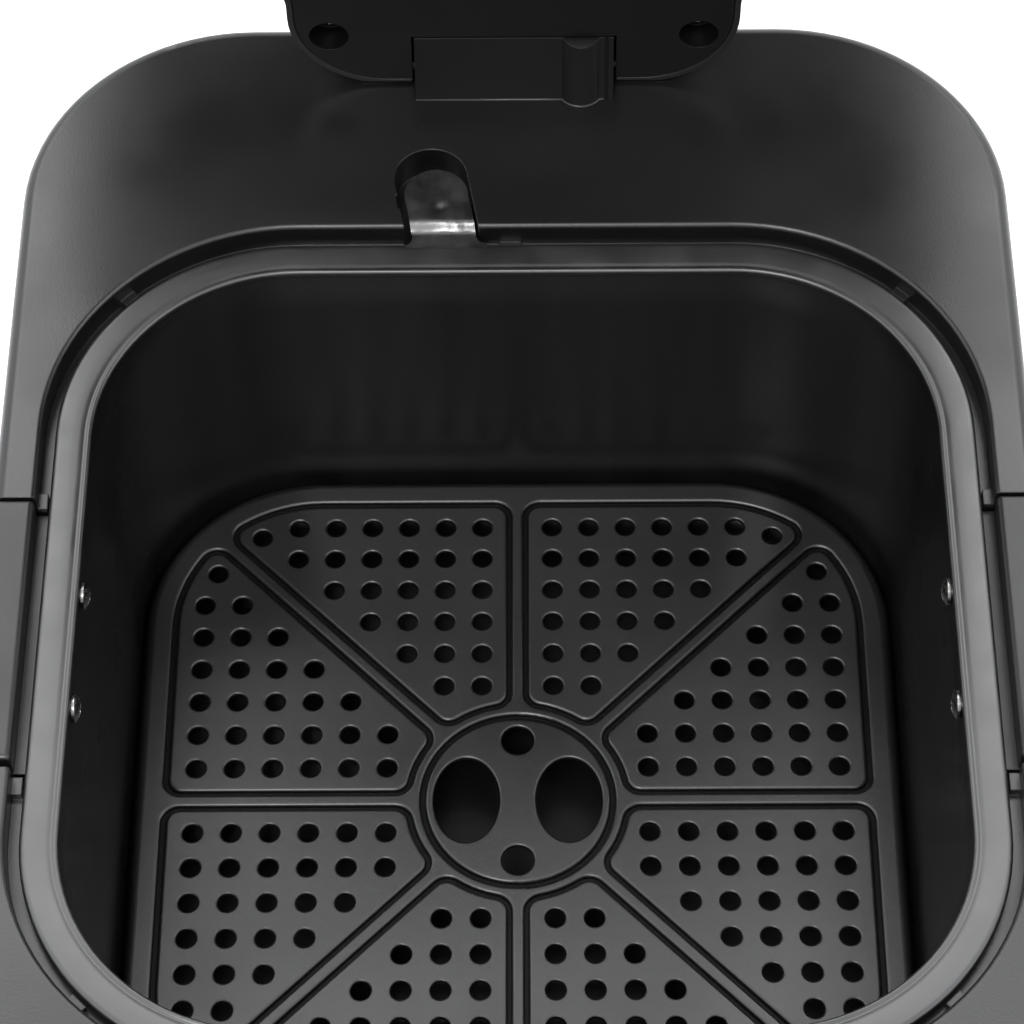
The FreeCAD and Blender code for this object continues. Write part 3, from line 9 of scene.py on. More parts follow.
import bmesh
import bpy
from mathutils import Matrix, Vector

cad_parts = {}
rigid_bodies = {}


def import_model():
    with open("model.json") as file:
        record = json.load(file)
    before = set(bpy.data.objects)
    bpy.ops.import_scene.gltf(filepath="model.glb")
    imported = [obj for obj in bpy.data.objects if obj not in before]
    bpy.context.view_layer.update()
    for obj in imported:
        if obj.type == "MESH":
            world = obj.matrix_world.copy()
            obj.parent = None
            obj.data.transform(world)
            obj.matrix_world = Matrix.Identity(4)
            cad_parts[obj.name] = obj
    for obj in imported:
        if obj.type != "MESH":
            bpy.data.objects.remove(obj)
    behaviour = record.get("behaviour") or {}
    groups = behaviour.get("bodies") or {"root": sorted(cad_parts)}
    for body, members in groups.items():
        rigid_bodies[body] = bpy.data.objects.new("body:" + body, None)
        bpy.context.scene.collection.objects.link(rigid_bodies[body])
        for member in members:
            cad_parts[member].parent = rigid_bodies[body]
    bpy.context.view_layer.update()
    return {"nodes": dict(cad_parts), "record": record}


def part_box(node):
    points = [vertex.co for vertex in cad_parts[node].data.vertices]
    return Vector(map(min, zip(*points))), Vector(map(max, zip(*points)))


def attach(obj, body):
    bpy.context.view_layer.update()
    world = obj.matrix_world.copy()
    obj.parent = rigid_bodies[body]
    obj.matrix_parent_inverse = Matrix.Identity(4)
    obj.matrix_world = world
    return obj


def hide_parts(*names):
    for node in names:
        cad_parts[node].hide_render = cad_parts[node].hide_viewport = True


for leftover in list(bpy.data.objects):
    bpy.data.objects.remove(leftover)
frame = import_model()

MM = 0.001

# The plate's cooking surface carries the origin that the camera and the pot are placed from.
plate_low, plate_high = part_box("crisper_plate")
POT_X = (plate_low.x + plate_high.x) / 2
POT_Y = (plate_low.y + plate_high.y) / 2
PLATE_Z = plate_high.z


# ---- materials ----------------------------------------------------------------------------
# The Mix node's sockets for each kind: its two inputs, and its result.
MIX_SOCKETS = {"FLOAT": ((2, 3), 0), "RGBA": ((6, 7), 2)}
MIX_FACTOR = 0

# The range that most of a noise texture's values lie in.
NOISE_LOW, NOISE_HIGH = 0.3, 0.7

# Cosine between the rounded and the flat normal, on a sharp edge and just off it.
ON_EDGE, OFF_EDGE = 0.86, 0.995


class Look:
    """A Principled material with helpers for the textures that feed it."""

    def __init__(self, name, roughness=0.5, metallic=0.0, specular=0.5):
        self.material = bpy.data.materials.new(name)
        self.material.use_nodes = True
        self.tree = self.material.node_tree
        self.shader = self.tree.nodes["Principled BSDF"]
        self.set("Roughness", roughness)
        self.set("Metallic", metallic)
        self.set("Specular IOR Level", specular)
        self.place = self.node("ShaderNodeTexCoord").outputs["Object"]
        self.normal = None

    def node(self, kind, **settings):
        made = self.tree.nodes.new(kind)
        for key, value in settings.items():
            setattr(made, key, value)
        return made

    def link(self, source, target):
        self.tree.links.new(source, target)

    def set(self, socket, value):
        self.shader.inputs[socket].default_value = value

    def noise(self, scale, detail=2.0, stretch=(1, 1, 1)):
        mapping = self.node("ShaderNodeMapping")
        mapping.inputs["Scale"].default_value = stretch
        self.link(self.place, mapping.inputs["Vector"])
        noise = self.node("ShaderNodeTexNoise")
        noise.inputs["Scale"].default_value = scale
        noise.inputs["Detail"].default_value = detail
        self.link(mapping.outputs["Vector"], noise.inputs["Vector"])
        return noise.outputs["Fac"]

    def spread(self, source, low, high, start=NOISE_LOW, end=NOISE_HIGH):
        """The source's range start..end brought to low..high."""
        ramp = self.node("ShaderNodeMapRange")
        ramp.inputs["From Min"].default_value = start
        ramp.inputs["From Max"].default_value = end
        ramp.inputs["To Min"].default_value = low
        ramp.inputs["To Max"].default_value = high
        self.link(source, ramp.inputs["Value"])
        return ramp.outputs["Result"]

    def by_height(self, low, high, start, end):
        """A value that goes from low to high between the heights start and end, in metres."""
        split = self.node("ShaderNodeSeparateXYZ")
        self.link(self.place, split.inputs["Vector"])
        return self.spread(split.outputs["Z"], low, high, start, end)

    def mix(self, first, second, factor, kind="RGBA"):
        """Blend of two colours or outputs: the first where the factor is 0, the second at 1."""
        inputs, result = MIX_SOCKETS[kind]
        made = self.node("ShaderNodeMix", data_type=kind)
        for socket, source in zip(inputs, (first, second)):
            if isinstance(source, tuple):
                made.inputs[socket].default_value = (*source, 1)
            else:
                self.link(source, made.inputs[socket])
        self.link(factor, made.inputs[MIX_FACTOR])
        return made.outputs[result]

    def shades(self, colour, darker, paler, source):
        """The colour between a darker and a paler tint of itself, following a noise."""
        return self.mix(tinted(colour, darker), tinted(colour, paler), self.spread(source, 0, 1))

    def overlay(self, below, colour, mask, most):
        """The colour laid over what is below where the mask is 1, with the share most."""
        return self.mix(below, colour, self.spread(mask, 0.0, most, start=0, end=1))

    def soft_edges(self, radius):
        """Rounds the shading over sharp edges, and returns a mask of where it did."""
        bevel = self.node("ShaderNodeBevel", samples=4)
        bevel.inputs["Radius"].default_value = radius * MM
        geometry = self.node("ShaderNodeNewGeometry")
        dot = self.node("ShaderNodeVectorMath", operation="DOT_PRODUCT")
        self.link(bevel.outputs["Normal"], dot.inputs[0])
        self.link(geometry.outputs["Normal"], dot.inputs[1])
        self.normal = bevel.outputs["Normal"]
        return self.spread(dot.outputs["Value"], 1.0, 0.0, ON_EDGE, OFF_EDGE)

    def bump(self, height, distance):
        bump = self.node("ShaderNodeBump")
        bump.inputs["Strength"].default_value = 1.0
        bump.inputs["Distance"].default_value = distance * MM
        self.link(height, bump.inputs["Height"])
        if self.normal:
            self.link(self.normal, bump.inputs["Normal"])
        self.normal = bump.outputs["Normal"]

    def done(self, colour, roughness=None):
        self.link(colour, self.shader.inputs["Base Color"])
        if roughness is not None:
            self.link(roughness, self.shader.inputs["Roughness"])
        if self.normal:
            self.link(self.normal, self.shader.inputs["Normal"])
        return self.material


def tinted(colour, factor):
    return tuple(min(1.0, channel * factor) for channel in colour)


def textured_plastic(name, colour, roughness, grain, edge=0.45, specular=0.5):
    """Moulded plastic with a spark-eroded grain, cloudy gloss and slightly paler edges."""
    look = Look(name, roughness, specular=specular)
    mask = look.soft_edges(edge)
    cloud = look.noise(26.0, detail=3.0)
    colours = look.shades(colour, 0.93, 1.07, cloud)
    speck = look.spread(look.noise(1500.0), 0, 1, start=0.42, end=0.62)
    colours = look.overlay(colours, tinted(colour, 1.18), speck, most=0.4)
    colours = look.overlay(colours, tinted(colour, 1.5), mask, most=0.5)
    look.bump(look.noise(1350.0), grain)
    look.bump(look.noise(9.0, detail=1.0), 0.25)
    return look.done(colours, look.spread(cloud, roughness - 0.05, roughness + 0.05))


def smooth_plastic(name, colour, roughness, coat=0.0, specular=0.5):
    look = Look(name, roughness, specular=specular)
    look.set("Coat Weight", coat)
    look.set("Coat Roughness", 0.08)
    mask = look.soft_edges(0.35)
    smear = look.noise(9.0, detail=4.0, stretch=(1.0, 2.5, 1.0))
    colours = look.shades(colour, 0.92, 1.1, look.noise(35.0, detail=3.0))
    colours = look.overlay(colours, tinted(colour, 1.5), mask, most=0.4)
    look.bump(look.noise(700.0), 0.006)
    return look.done(colours, look.spread(smear, roughness - 0.06, roughness + 0.08))


def bare_metal(name, colour, roughness, stretch=(1, 1, 1), scale=260.0, edge=0.25):
    """Sheet or turned metal; stretch draws the noise out along the brushing."""
    look = Look(name, roughness, metallic=1.0)
    mask = look.soft_edges(edge)
    brush = look.noise(scale, detail=3.0, stretch=stretch)
    colours = look.shades(colour, 0.85, 1.0, look.noise(24.0, detail=4.0))
    colours = look.overlay(colours, tinted(colour, 1.2), mask, most=0.5)
    look.bump(brush, 0.012)
    return look.done(colours, look.spread(brush, roughness - 0.08, roughness + 0.1))


def non_stick(name, colour, roughness, top_z):
    """Sprayed coating on aluminium: orange peel, paler flakes and rubbed edges, with painted shade
    in the grooves, where the specular level falls with depth below the top.
    """
    look = Look(name, roughness)
    # Painted shade: the specular level drops towards the groove floors, standing in for the shade
    # that falls in the grooves.
    specular_by_height = look.by_height(0.08, 0.75, start=top_z - 1.3 * MM, end=top_z - 0.35 * MM)
    look.link(specular_by_height, look.shader.inputs["Specular IOR Level"])
    mask = look.soft_edges(0.5)
    cloud = look.noise(18.0, detail=3.0)
    colours = look.shades(colour, 0.8, 1.2, cloud)
    flake = look.spread(look.noise(2200.0, detail=1.0), 0, 0.6, start=0.58, end=0.72)
    colours = look.mix(colours, tinted(colour, 5.0), flake)
    colours = look.overlay(colours, tinted(colour, 2.5), mask, most=0.5)
    look.bump(look.noise(1300.0), 0.03)
    look.bump(look.noise(220.0, detail=1.0), 0.04)
    return look.done(colours, look.spread(cloud, roughness - 0.05, roughness + 0.06))


def pot_coating(rim_z):
    """The pot's coating: dark inside, and glossier on the rim, which is touched most."""
    look = Look("pot_coating")
    on_rim = look.by_height(0, 1, start=rim_z - 1.6 * MM, end=rim_z - 0.5 * MM)
    specular_by_height = look.spread(on_rim, 0.3, 1.0, start=0, end=1)
    look.link(specular_by_height, look.shader.inputs["Specular IOR Level"])
    drawn = look.spread(look.noise(60.0, detail=3.0, stretch=(1.0, 1.0, 0.06)), 0, 1)
    inside = look.mix((0.003, 0.003, 0.0032), (0.006, 0.006, 0.0064), drawn)
    rubbed = look.noise(70.0, detail=5.0)
    rim = look.mix((0.004, 0.004, 0.0042), (0.012, 0.012, 0.0125), look.spread(rubbed, 0, 1))
    cloud = look.noise(16.0, detail=3.0)
    inside_roughness = look.spread(cloud, 0.24, 0.32)
    rim_roughness = look.spread(rubbed, 0.30, 0.40)
    roughness = look.mix(inside_roughness, rim_roughness, on_rim, "FLOAT")
    look.bump(look.noise(1400.0), 0.012)
    look.bump(look.noise(45.0, stretch=(1.0, 1.0, 0.15)), 0.05)
    return look.done(look.mix(inside, rim, on_rim), roughness)


def tongue_coating():
    """The coating where the sheet is pressed into a step: glossier, with shallow wrinkles."""
    look = Look("tongue_coating", specular=1.0)
    cloud = look.noise(150.0, detail=3.0)
    colours = look.mix((0.003, 0.003, 0.0032), (0.008, 0.008, 0.0085), look.spread(cloud, 0, 1))
    look.bump(look.noise(110.0), 0.45)
    look.bump(look.noise(1400.0), 0.006)
    return look.done(colours, look.spread(cloud, 0.14, 0.46))


def rubber(name, colour):
    look = Look(name, 0.8, specular=0.35)
    look.soft_edges(0.5)
    cloud = look.noise(50.0, detail=4.0)
    look.bump(look.noise(900.0), 0.03)
    return look.done(look.shades(colour, 0.85, 1.35, cloud), look.spread(cloud, 0.7, 0.88))


def circuit_board(name):
    """Green solder mask, with the copper under it showing as paler cells."""
    look = Look(name, 0.35)
    look.soft_edges(0.2)
    cells = look.node("ShaderNodeTexVoronoi", distance="MANHATTAN")
    cells.inputs["Scale"].default_value = 320.0
    look.link(look.place, cells.inputs["Vector"])
    tracks = look.spread(cells.outputs["Distance"], 0, 1, start=0.35, end=0.42)
    colours = look.mix((0.012, 0.09, 0.03), (0.03, 0.17, 0.06), tracks)
    look.bump(tracks, 0.03)
    return look.done(colours, look.spread(tracks, 0.28, 0.42, start=0, end=1))


def fibre(name):
    look = Look(name, 0.95, specular=0.2)
    strands = look.noise(300.0, detail=5.0, stretch=(1.0, 0.2, 1.0))
    tufts = look.noise(60.0, detail=4.0)
    colours = look.mix((0.28, 0.265, 0.23), (0.45, 0.43, 0.38), look.spread(strands, 0, 1))
    look.bump(strands, 0.4)
    look.bump(tufts, 0.8)
    return look.done(colours, look.spread(tufts, 0.88, 0.98))


def heater_sheath():
    """Oxidised tube heater: dark bands of temper colour over steel."""
    look = Look("heater_sheath", 0.5, metallic=0.75)
    bands = look.noise(30.0, detail=3.0)
    colours = look.mix((0.035, 0.03, 0.028), (0.09, 0.07, 0.055), look.spread(bands, 0, 1))
    colours = look.mix(colours, (0.05, 0.05, 0.065), look.spread(look.noise(75.0), 0, 0.5))
    look.bump(look.noise(900.0, detail=3.0), 0.02)
    return look.done(colours, look.spread(bands, 0.38, 0.62))


def smoked_lens():
    look = Look("smoked_lens", 0.06)
    look.set("Coat Weight", 0.6)
    look.set("Coat Roughness", 0.03)
    smear = look.noise(30.0, detail=4.0, stretch=(1.0, 1.0, 3.0))
    colours = look.mix((0.004, 0.005, 0.006), (0.010, 0.012, 0.014), look.spread(smear, 0, 1))
    return look.done(colours, look.spread(smear, 0.04, 0.12))


def lamp_dot():
    look = Look("lamp_dot", 0.3)
    haze = look.spread(look.noise(1200.0), 0, 1)
    return look.done(look.mix((0.55, 0.6, 0.62), (0.75, 0.8, 0.82), haze))


def printed_mark():
    look = Look("printed_mark", 0.6)
    ink = look.spread(look.noise(1500.0), 0, 1)
    return look.done(look.mix((0.42, 0.43, 0.44), (0.55, 0.56, 0.57), ink))


RIM_TOP = 155.7
BODY_COLOUR = (0.0040, 0.0040, 0.0042)
DECK_COLOUR = (0.0035, 0.0035, 0.0037)
ALONG_SHEET = (1.0, 0.12, 1.0)
LOOKS = {
    "shell": textured_plastic("shell_plastic", BODY_COLOUR, 0.36, 0.030),
    "deck": textured_plastic("deck_plastic", DECK_COLOUR, 0.32, 0.026, edge=0.6, specular=0.6),
    "handle": textured_plastic("handle_plastic", BODY_COLOUR, 0.35, 0.026, edge=0.5),
    "dark_plastic": smooth_plastic("cover_plastic", (0.0030, 0.0030, 0.0032), 0.30, specular=0.2),
    "gloss_black": smooth_plastic("gloss_plastic", (0.0040, 0.0040, 0.0044), 0.16, coat=0.5),
    "lens": smoked_lens(),
    "rubber": rubber("foot_rubber", (0.010, 0.010, 0.0105)),
    "silicone": rubber("plate_silicone", (0.012, 0.012, 0.0125)),
    "gasket": rubber("gasket_silicone", (0.030, 0.030, 0.032)),
    "coated": pot_coating(RIM_TOP * MM),
    "coated_plate": non_stick("plate_coating", (0.0035, 0.0036, 0.0037), 0.34, PLATE_Z),
    "zinc": bare_metal("zinc_sheet", (0.34, 0.35, 0.36), 0.38, scale=90.0),
    "alu": bare_metal("pressed_aluminium", (0.40, 0.40, 0.41), 0.34, ALONG_SHEET),
    "steel": bare_metal("bright_steel", (0.34, 0.335, 0.33), 0.28, (0.3, 1.0, 1.0)),
    "screw": bare_metal("nickel_screws", (0.42, 0.41, 0.40), 0.22, scale=900.0, edge=0.12),
    "sheath": heater_sheath(),
    "pcb": circuit_board("solder_mask"),
    "white": smooth_plastic("switch_plastic", (0.36, 0.355, 0.33), 0.42),
    "fibre": fibre("fibre_blanket"),
    "ceramic": smooth_plastic("ceramic", (0.42, 0.41, 0.37), 0.3),
}

# The heating chamber's sheet shows as satin metal, though its slot is the dark coating.
NODE_LOOKS = {"lid_liner": bare_metal("chamber_sheet", (0.42, 0.42, 0.43), 0.30, ALONG_SHEET)}

for part in frame["record"]["subparts"]:
    mesh = frame["nodes"][part["node"]].data
    mesh.materials.clear()
    mesh.materials.append(NODE_LOOKS.get(part["node"], LOOKS[part["material_slot"]]))


# ---- mesh helpers -------------------------------------------------------------------------
def piece(name, verts, faces, material, body, smooth=True):
    """A new mesh object with its faces turned outwards, riding on a body."""
    mesh = bpy.data.meshes.new(name)
    mesh.from_pydata([tuple(v) for v in verts], [], faces)
    mesh.validate()
    work = bmesh.new()
    work.from_mesh(mesh)
    bmesh.ops.recalc_face_normals(work, faces=work.faces)
    work.to_mesh(mesh)
    work.free()
    if smooth:
        mesh.polygons.foreach_set("use_smooth", [True] * len(mesh.polygons))
    mesh.materials.append(material)
    made = bpy.data.objects.new(name, mesh)
    bpy.context.scene.collection.objects.link(made)
    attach(made, body)
    return made


def from_pot(x, y, z):
    """A point given in millimetres from the pot's centre, and from the table in height."""
    return Vector((POT_X + x * MM, POT_Y + y * MM, z * MM))


def lofted(rings):
    """Vertices and faces of a closed loft: quads between rings and a face over each end."""
    count = len(rings[0])
    verts = [v for ring in rings for v in ring]
    faces = []
    for row in range(len(rings) - 1):
        for i in range(count):
            j = (i + 1) % count
            first = row * count
            faces.append((first + i, first + j, first + count + j, first + count + i))
    faces.append(tuple(range(count)))
    faces.append(tuple(range(len(verts) - count, len(verts))))
    return verts, faces


def rounded(made, width):
    """Rounds the sharp edges, and keeps the result as the object's mesh."""
    bevel = made.modifiers.new("round", "BEVEL")
    bevel.width = width * MM
    bevel.segments = 3
    bevel.limit_method = "ANGLE"
    bevel.angle_limit = math.radians(40.0)
    bevel.harden_normals = True
    graph = bpy.context.evaluated_depsgraph_get()
    mesh = bpy.data.meshes.new_from_object(made.evaluated_get(graph))
    made.modifiers.clear()
    made.data = mesh


# ---- pot ----------------------------------------------------------------------------------
# Halves are measured from the pot's centre to a flat side, and centres to a corner's centre.
POT_FLOOR = 34.5
POT_HALF = 120.8
POT_CENTRE = 63.4
RIM_HALF = 130.4
RIM_CENTRE = 64.1
WALL_SLOPE = 5.6 / (RIM_TOP - POT_FLOOR)
WALL_TOP = 152.6
SHEET = 1.2
FLOOR_EDGE = 9.0
CORNER_STEPS = 24
ARC_STEPS = 8
WALL_STEPS = 8

# The floor's two inner rings, this far inwards from where its round edge begins.
FLOOR_MIDDLE = 30.0
FLOOR_SIDE = 3.0

# Over this stretch outwards, the corner centres move from the wall's to the rim's.
FLARE_START = 121.0
FLARE_RUN = 8.0

# A corner's centre is at most this share of its ring's half width.
CENTRE_SHARE = 0.6

# Half width and height from the wall's inside over the rolled bead and the rim to its underside.
RIM_PROFILE = [
    (120.35, 153.4), (120.12, 154.2), (120.14, 154.9), (120.4, 155.5), (120.85, 155.78),
    (121.3, 155.7), (121.65, 155.48), (122.0, 155.38), (122.4, 155.46), (122.9, 155.62),
    (123.6, 155.69), (126.0, 155.7), (128.6, 155.7), (129.4, 155.66), (129.95, 155.45),
    (130.3, 155.1), (130.4, 154.75), (130.2, 154.4), (129.7, 154.22), (129.0, 154.2),
    (124.0, 154.2), (122.6, 154.0), (121.9, 153.3),
]


def square_ring(half, centre, z):
    """Points of a square with round corners whose centres lie at +-centre."""
    radius = half - centre
    ring = []
    for quarter, (sx, sy) in enumerate(((1, 1), (-1, 1), (-1, -1), (1, -1))):
        for step in range(CORNER_STEPS + 1):
            angle = math.pi / 2 * (quarter + step / CORNER_STEPS)
            x = sx * centre + radius * math.cos(angle)
            y = sy * centre + radius * math.sin(angle)
            ring.append(from_pot(x, y, z))
    return ring


def wall_half(z):
    return POT_HALF - WALL_SLOPE * (RIM_TOP - z)


def pot_side(grow):
    """Profile points (half, z) from the floor round its edge and up the wall, grown outwards."""
    floor = POT_FLOOR - grow
    edge = FLOOR_EDGE + grow
    low = floor + edge
    centre = wall_half(low) + grow - edge
    points = [(centre - FLOOR_MIDDLE, floor), (centre - FLOOR_SIDE, floor)]
    for step in range(ARC_STEPS + 1):
        angle = math.pi / 2 * step / ARC_STEPS
        points.append((centre + edge * math.sin(angle), low - edge * math.cos(angle)))
    for step in range(1, WALL_STEPS + 1):
        z = low + (WALL_TOP - low) * step / WALL_STEPS
        points.append((wall_half(z) + grow, z))
    return points


def pot_rings():
    rings = []
    for half, z in pot_side(0.0) + RIM_PROFILE + pot_side(SHEET)[::-1]:
        share = min(1.0, max(0.0, (half - FLARE_START) / FLARE_RUN))
        centre = POT_CENTRE + (RIM_CENTRE - POT_CENTRE) * share
        rings.append(square_ring(half, min(centre, half * CENTRE_SHARE), z))
    return rings


# ---- tongue: a skewed tab on the pot's rim that steps up into the deck's pocket -------------
TONGUE_TURN = math.radians(10.0)
TONGUE_X = -20.9
TONGUE_HALF = 9.35
TONGUE_START = -7.0
TONGUE_END = 22.97
TIP_MARGIN = 0.03
TIP_CENTRE = TONGUE_END + TIP_MARGIN - TONGUE_HALF
TONGUE_RISE = 2.5
TONGUE_STEP = 4.2
TONGUE_SHEET = 1.5
TONGUE_ROWS = 72
TONGUE_COLUMNS = 28
UNDER_RIM = 0.03
OPENING_HALF = 133.8
RIM_EDGE = RIM_HALF - OPENING_HALF
ROOT_RADIUS = 2.8
DIMPLE_ALONG = 8.5
DIMPLE_ACROSS = 0.5
DIMPLE_WIDTH = 1.5
DIMPLE_DEPTH = 0.9


def tongue_half(along, side):
    """Half width to the left (side -1) or right (side 1), with a flare where it leaves the rim."""
    if along > TIP_CENTRE:
        return math.sqrt(max(0.0, TONGUE_HALF ** 2 - (along - TIP_CENTRE) ** 2))
    root = (RIM_EDGE - side * TONGUE_HALF * math.sin(TONGUE_TURN)) / math.cos(TONGUE_TURN)
    reach = max(0.0, along - root)
    if reach < ROOT_RADIUS:
        return TONGUE_HALF + ROOT_RADIUS - math.sqrt(ROOT_RADIUS ** 2 - (ROOT_RADIUS - reach) ** 2)
    return TONGUE_HALF


def tongue_height(along, across):
    """Upper face: a smooth step parallel to the rim, and a round dimple."""
    behind = along * math.cos(TONGUE_TURN) + across * math.sin(TONGUE_TURN)
    share = min(1.0, max(0.0, behind / TONGUE_STEP))
    rise = TONGUE_RISE * share * share * (3 - 2 * share)
    far_along = (along - DIMPLE_ALONG) / DIMPLE_WIDTH
    far_across = (across - DIMPLE_ACROSS) / DIMPLE_WIDTH
    dimple = math.exp(-(far_along ** 2 + far_across ** 2))
    return RIM_TOP - UNDER_RIM + rise - DIMPLE_DEPTH * dimple


def tongue_point(along, across, z):
    cos, sin = math.cos(TONGUE_TURN), math.sin(TONGUE_TURN)
    return from_pot(TONGUE_X + across * cos - along * sin,
                    OPENING_HALF + across * sin + along * cos, z)


def tongue():
    """An upper and a lower grid, finest at the sides and the tip, joined all round."""
    verts = []
    for layer in (0.0, TONGUE_SHEET):
        for row in range(TONGUE_ROWS + 1):
            share = math.sin(math.pi / 2 * row / TONGUE_ROWS)
            along = TONGUE_START + (TONGUE_END - TONGUE_START) * share
            for column in range(TONGUE_COLUMNS + 1):
                share = math.sin(math.pi / 2 * (2 * column / TONGUE_COLUMNS - 1))
                across = share * tongue_half(along, 1 if share > 0 else -1)
                z = tongue_height(along, across) - layer
                verts.append(tongue_point(along, across, z))
    wide = TONGUE_COLUMNS + 1
    lower = wide * (TONGUE_ROWS + 1)
    faces = []
    for row in range(TONGUE_ROWS):
        for column in range(TONGUE_COLUMNS):
            first = row * wide + column
            faces.append((first, first + 1, first + wide + 1, first + wide))
            under = lower + first
            faces.append((under, under + wide, under + wide + 1, under + 1))
        for side in (0, TONGUE_COLUMNS):
            first = row * wide + side
            faces.append((first, first + wide, lower + first + wide, lower + first))
    for row in (0, TONGUE_ROWS):
        for column in range(TONGUE_COLUMNS):
            first = row * wide + column
            faces.append((first, first + 1, lower + first + 1, lower + first))
    return verts, faces


pot = piece("pot_pressing", *lofted(pot_rings()), LOOKS["coated"], "pot_body")
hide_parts("pot")
tab = piece("pot_tongue", *tongue(), tongue_coating(), "pot_body")
rounded(tab, 0.35)


# ---- bead along the foot of the hinge block -----------------------------------------------
BLOCK_LEFT = -29.8
BLOCK_MIDDLE = 0.0
BLOCK_RIGHT = 27.0
BLOCK_FRONT = 182.2
BUMP_X = 20.0
BUMP_RADIUS = 6.7
BUMP_PROUD = 2.9
BUMP_STEPS = 8
DECK_TOP = 160.0
BEAD_RADIUS = 0.45
BEAD_SIDES = 10


def block_foot():
    """Plan points along the block's front edge, with the half-round bump near its right end."""
    centre = BLOCK_FRONT + BUMP_RADIUS - BUMP_PROUD
    reach = math.acos((centre - BLOCK_FRONT) / BUMP_RADIUS)
    points = [(BLOCK_LEFT, BLOCK_FRONT), (BLOCK_MIDDLE, BLOCK_FRONT)]
    for step in range(2 * BUMP_STEPS + 1):
        angle = reach * (step / BUMP_STEPS - 1)
        x = BUMP_X + BUMP_RADIUS * math.sin(angle)
        points.append((x, centre - BUMP_RADIUS * math.cos(angle)))
    points.append((BLOCK_RIGHT, BLOCK_FRONT))
    return points


def foot_bead(points):
    """Rings of a round bead along the points, half sunk in the deck at the block's foot."""
    rings = []
    for index, (x, y) in enumerate(points):
        before = points[max(0, index - 1)]
        after = points[min(len(points) - 1, index + 1)]
        along = Vector((after[0] - before[0], after[1] - before[1], 0)).normalized()
        out = Vector((along.y, -along.x, 0))
        ring = []
        for i in range(BEAD_SIDES):
            angle = 2 * math.pi * i / BEAD_SIDES
            offset = out * math.cos(angle) + Vector((0, 0, math.sin(angle)))
            ring.append(from_pot(x, y, DECK_TOP) + offset * BEAD_RADIUS * MM)
        rings.append(ring)
    return rings


bead = piece("hinge_block_bead", *lofted(foot_bead(block_foot())), LOOKS["deck"], "base")


# ---- marks on the control panel -----------------------------------------------------------
TICKS = 19
TICK_TURN = 15
FIRST_TICK = -135
TICK_GAP = 2.2
LONG_TICK = 3.4
SHORT_TICK = 2.0
LONG_EVERY = 3
TICK_HALF = 0.22
TICK_PROUD = 0.04
TICK_DEPTH = 0.14
LAMP_RADIUS = 0.9
LAMP_PROUD = 0.05
LAMP_DEPTH = 0.2
LAMP_ABOVE = 4.0
LAMP_SIDES = 24
BOX_FACES = ((0, 1, 2, 3), (7, 6, 5, 4), (0, 4, 5, 1), (1, 5, 6, 2), (2, 6, 7, 3), (3, 7, 4, 0))
panel_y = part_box("control_fascia")[0].y


def dial_ticks():
    """Flat marks in an arc round the knob, every third one longer."""
    low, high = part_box("control_knob")
    middle = (low + high) / 2
    reach = (high.x - low.x) / 2 + TICK_GAP * MM
    base = Vector((middle.x, panel_y - TICK_PROUD * MM, middle.z))
    verts, faces = [], []
    for index in range(TICKS):
        angle = math.radians(FIRST_TICK + TICK_TURN * index)
        long = LONG_TICK if index % LONG_EVERY == 0 else SHORT_TICK
        out = Vector((math.sin(angle), 0, math.cos(angle)))
        side = Vector((math.cos(angle), 0, -math.sin(angle))) * TICK_HALF * MM
        first = len(verts)
        for y in (0.0, TICK_DEPTH * MM):
            for distance, sign in ((0, 1), (0, -1), (long, -1), (long, 1)):
                along = out * (reach + distance * MM)
                verts.append(base + along + side * sign + Vector((0, y, 0)))
        faces += [tuple(first + i for i in corners) for corners in BOX_FACES]
    return verts, faces


def lamp_rings(centre):
    """Two rings of a short round plug that faces the front."""
    rings = []
    for y in (0.0, LAMP_DEPTH * MM):
        ring = []
        for i in range(LAMP_SIDES):
            angle = 2 * math.pi * i / LAMP_SIDES
            x = LAMP_RADIUS * MM * math.cos(angle)
            ring.append(centre + Vector((x, y, LAMP_RADIUS * MM * math.sin(angle))))
        rings.append(ring)
    return rings


ticks = piece("dial_ticks", *dial_ticks(), printed_mark(), "base", smooth=False)
lamp_material = lamp_dot()
for button in ("power_button", "preset_button", "timer_button", "start_button"):
    low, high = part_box(button)
    spot = Vector(((low.x + high.x) / 2, panel_y - LAMP_PROUD * MM, high.z + LAMP_ABOVE * MM))
    lamp = piece(button + "_lamp", *lofted(lamp_rings(spot)), lamp_material, "base", smooth=False)


# ---- stage, light and camera --------------------------------------------------------------
FLOOR_HALF = 6.0
WORLD_COLOUR = (0.97, 0.98, 1.0, 1)
WORLD_STRENGTH = 1.7

# The camera, solved from the photo's straight edges: its place from the middle of the plate's
# top face in millimetres, its turns in degrees, and its lens and sensor.
CAMERA_PLACE = (5.14, -473.65, 876.86)
CAMERA_TURN = (33.306, 0.468, -0.039)
CAMERA_LENS = 117.0
CAMERA_SENSOR = 36.0


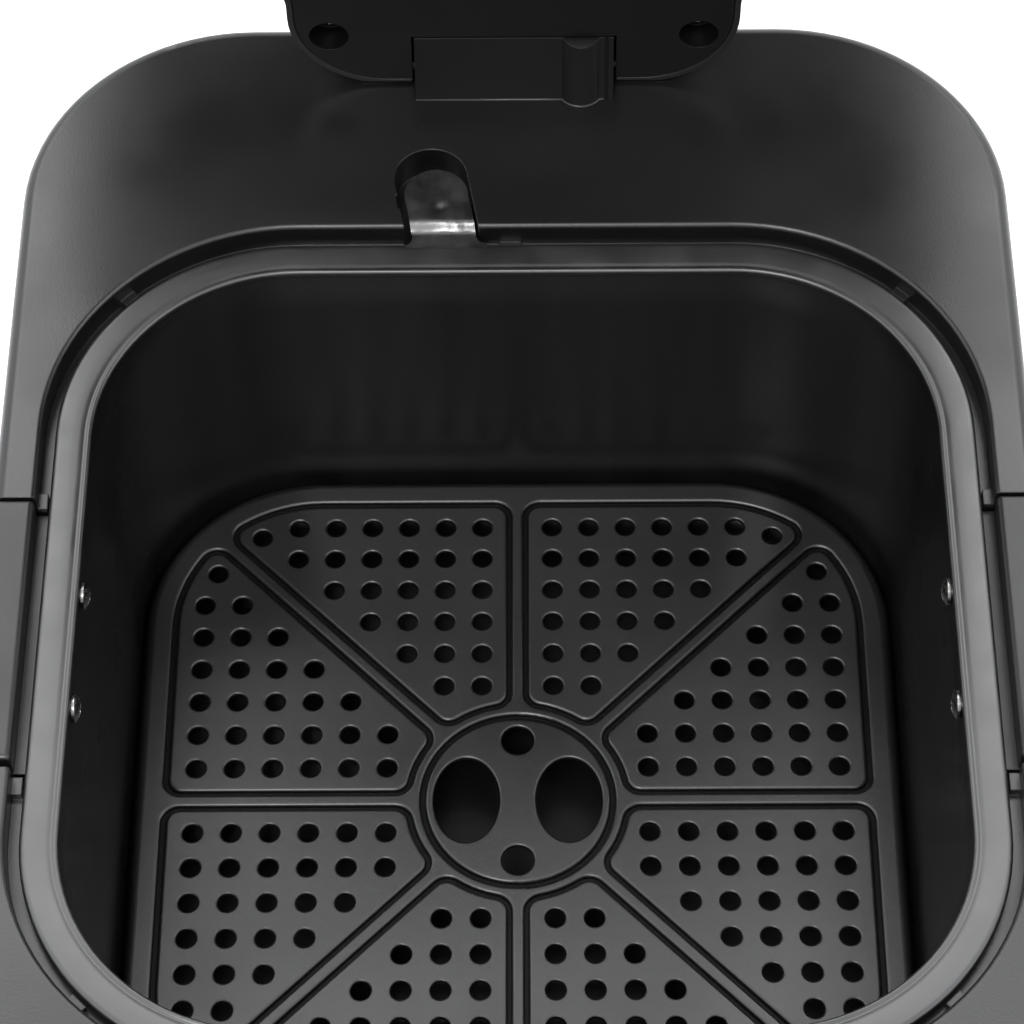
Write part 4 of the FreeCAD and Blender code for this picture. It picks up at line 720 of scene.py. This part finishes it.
def floor():
    look = Look("studio_floor", 0.9, specular=0.1)
    haze = look.spread(look.noise(1.5), 0, 1)
    corners = [(-FLOOR_HALF, -FLOOR_HALF, 0), (FLOOR_HALF, -FLOOR_HALF, 0),
               (FLOOR_HALF, FLOOR_HALF, 0), (-FLOOR_HALF, FLOOR_HALF, 0)]
    mesh = bpy.data.meshes.new("floor")
    mesh.from_pydata(corners, [], [(0, 1, 2, 3)])
    mesh.materials.append(look.done(look.mix((0.86, 0.86, 0.86), (0.9, 0.9, 0.9), haze)))
    made = bpy.data.objects.new("floor", mesh)
    bpy.context.scene.collection.objects.link(made)


def soft_box(name, place, target_height, size, power):
    """A rectangular lamp at a place in metres, aimed over the middle of the object."""
    data = bpy.data.lights.new(name, "AREA")
    data.shape = "RECTANGLE"
    data.size, data.size_y = size
    data.energy = power
    lamp = bpy.data.objects.new(name, data)
    lamp.location = place
    aim = Vector((0, 0, target_height)) - Vector(place)
    lamp.rotation_euler = aim.to_track_quat("-Z", "Y").to_euler()
    bpy.context.scene.collection.objects.link(lamp)


floor()
soft_box("key", (-0.4, -1.1, 2.0), target_height=0.12, size=(0.7, 0.5), power=26.0)
soft_box("back", (0.0, 1.3, 2.0), target_height=0.15, size=(2.4, 1.2), power=30.0)
soft_box("fill_right", (1.7, -0.2, 1.3), target_height=0.15, size=(1.2, 1.2), power=9.0)
soft_box("fill_left", (-1.7, 0.3, 1.3), target_height=0.15, size=(1.2, 1.2), power=7.0)

world = bpy.data.worlds.new("studio")
world.use_nodes = True
background = world.node_tree.nodes["Background"]
background.inputs["Color"].default_value = WORLD_COLOUR
background.inputs["Strength"].default_value = WORLD_STRENGTH
bpy.context.scene.world = world
bpy.context.scene.view_settings.view_transform = "Standard"

camera_data = bpy.data.cameras.new("camera")
camera_data.sensor_width = CAMERA_SENSOR
camera_data.lens = CAMERA_LENS
camera = bpy.data.objects.new("camera", camera_data)
camera.location = [start + offset * MM
                   for start, offset in zip((POT_X, POT_Y, PLATE_Z), CAMERA_PLACE)]
camera.rotation_euler = [math.radians(turn) for turn in CAMERA_TURN]
bpy.context.scene.collection.objects.link(camera)
bpy.context.scene.camera = camera
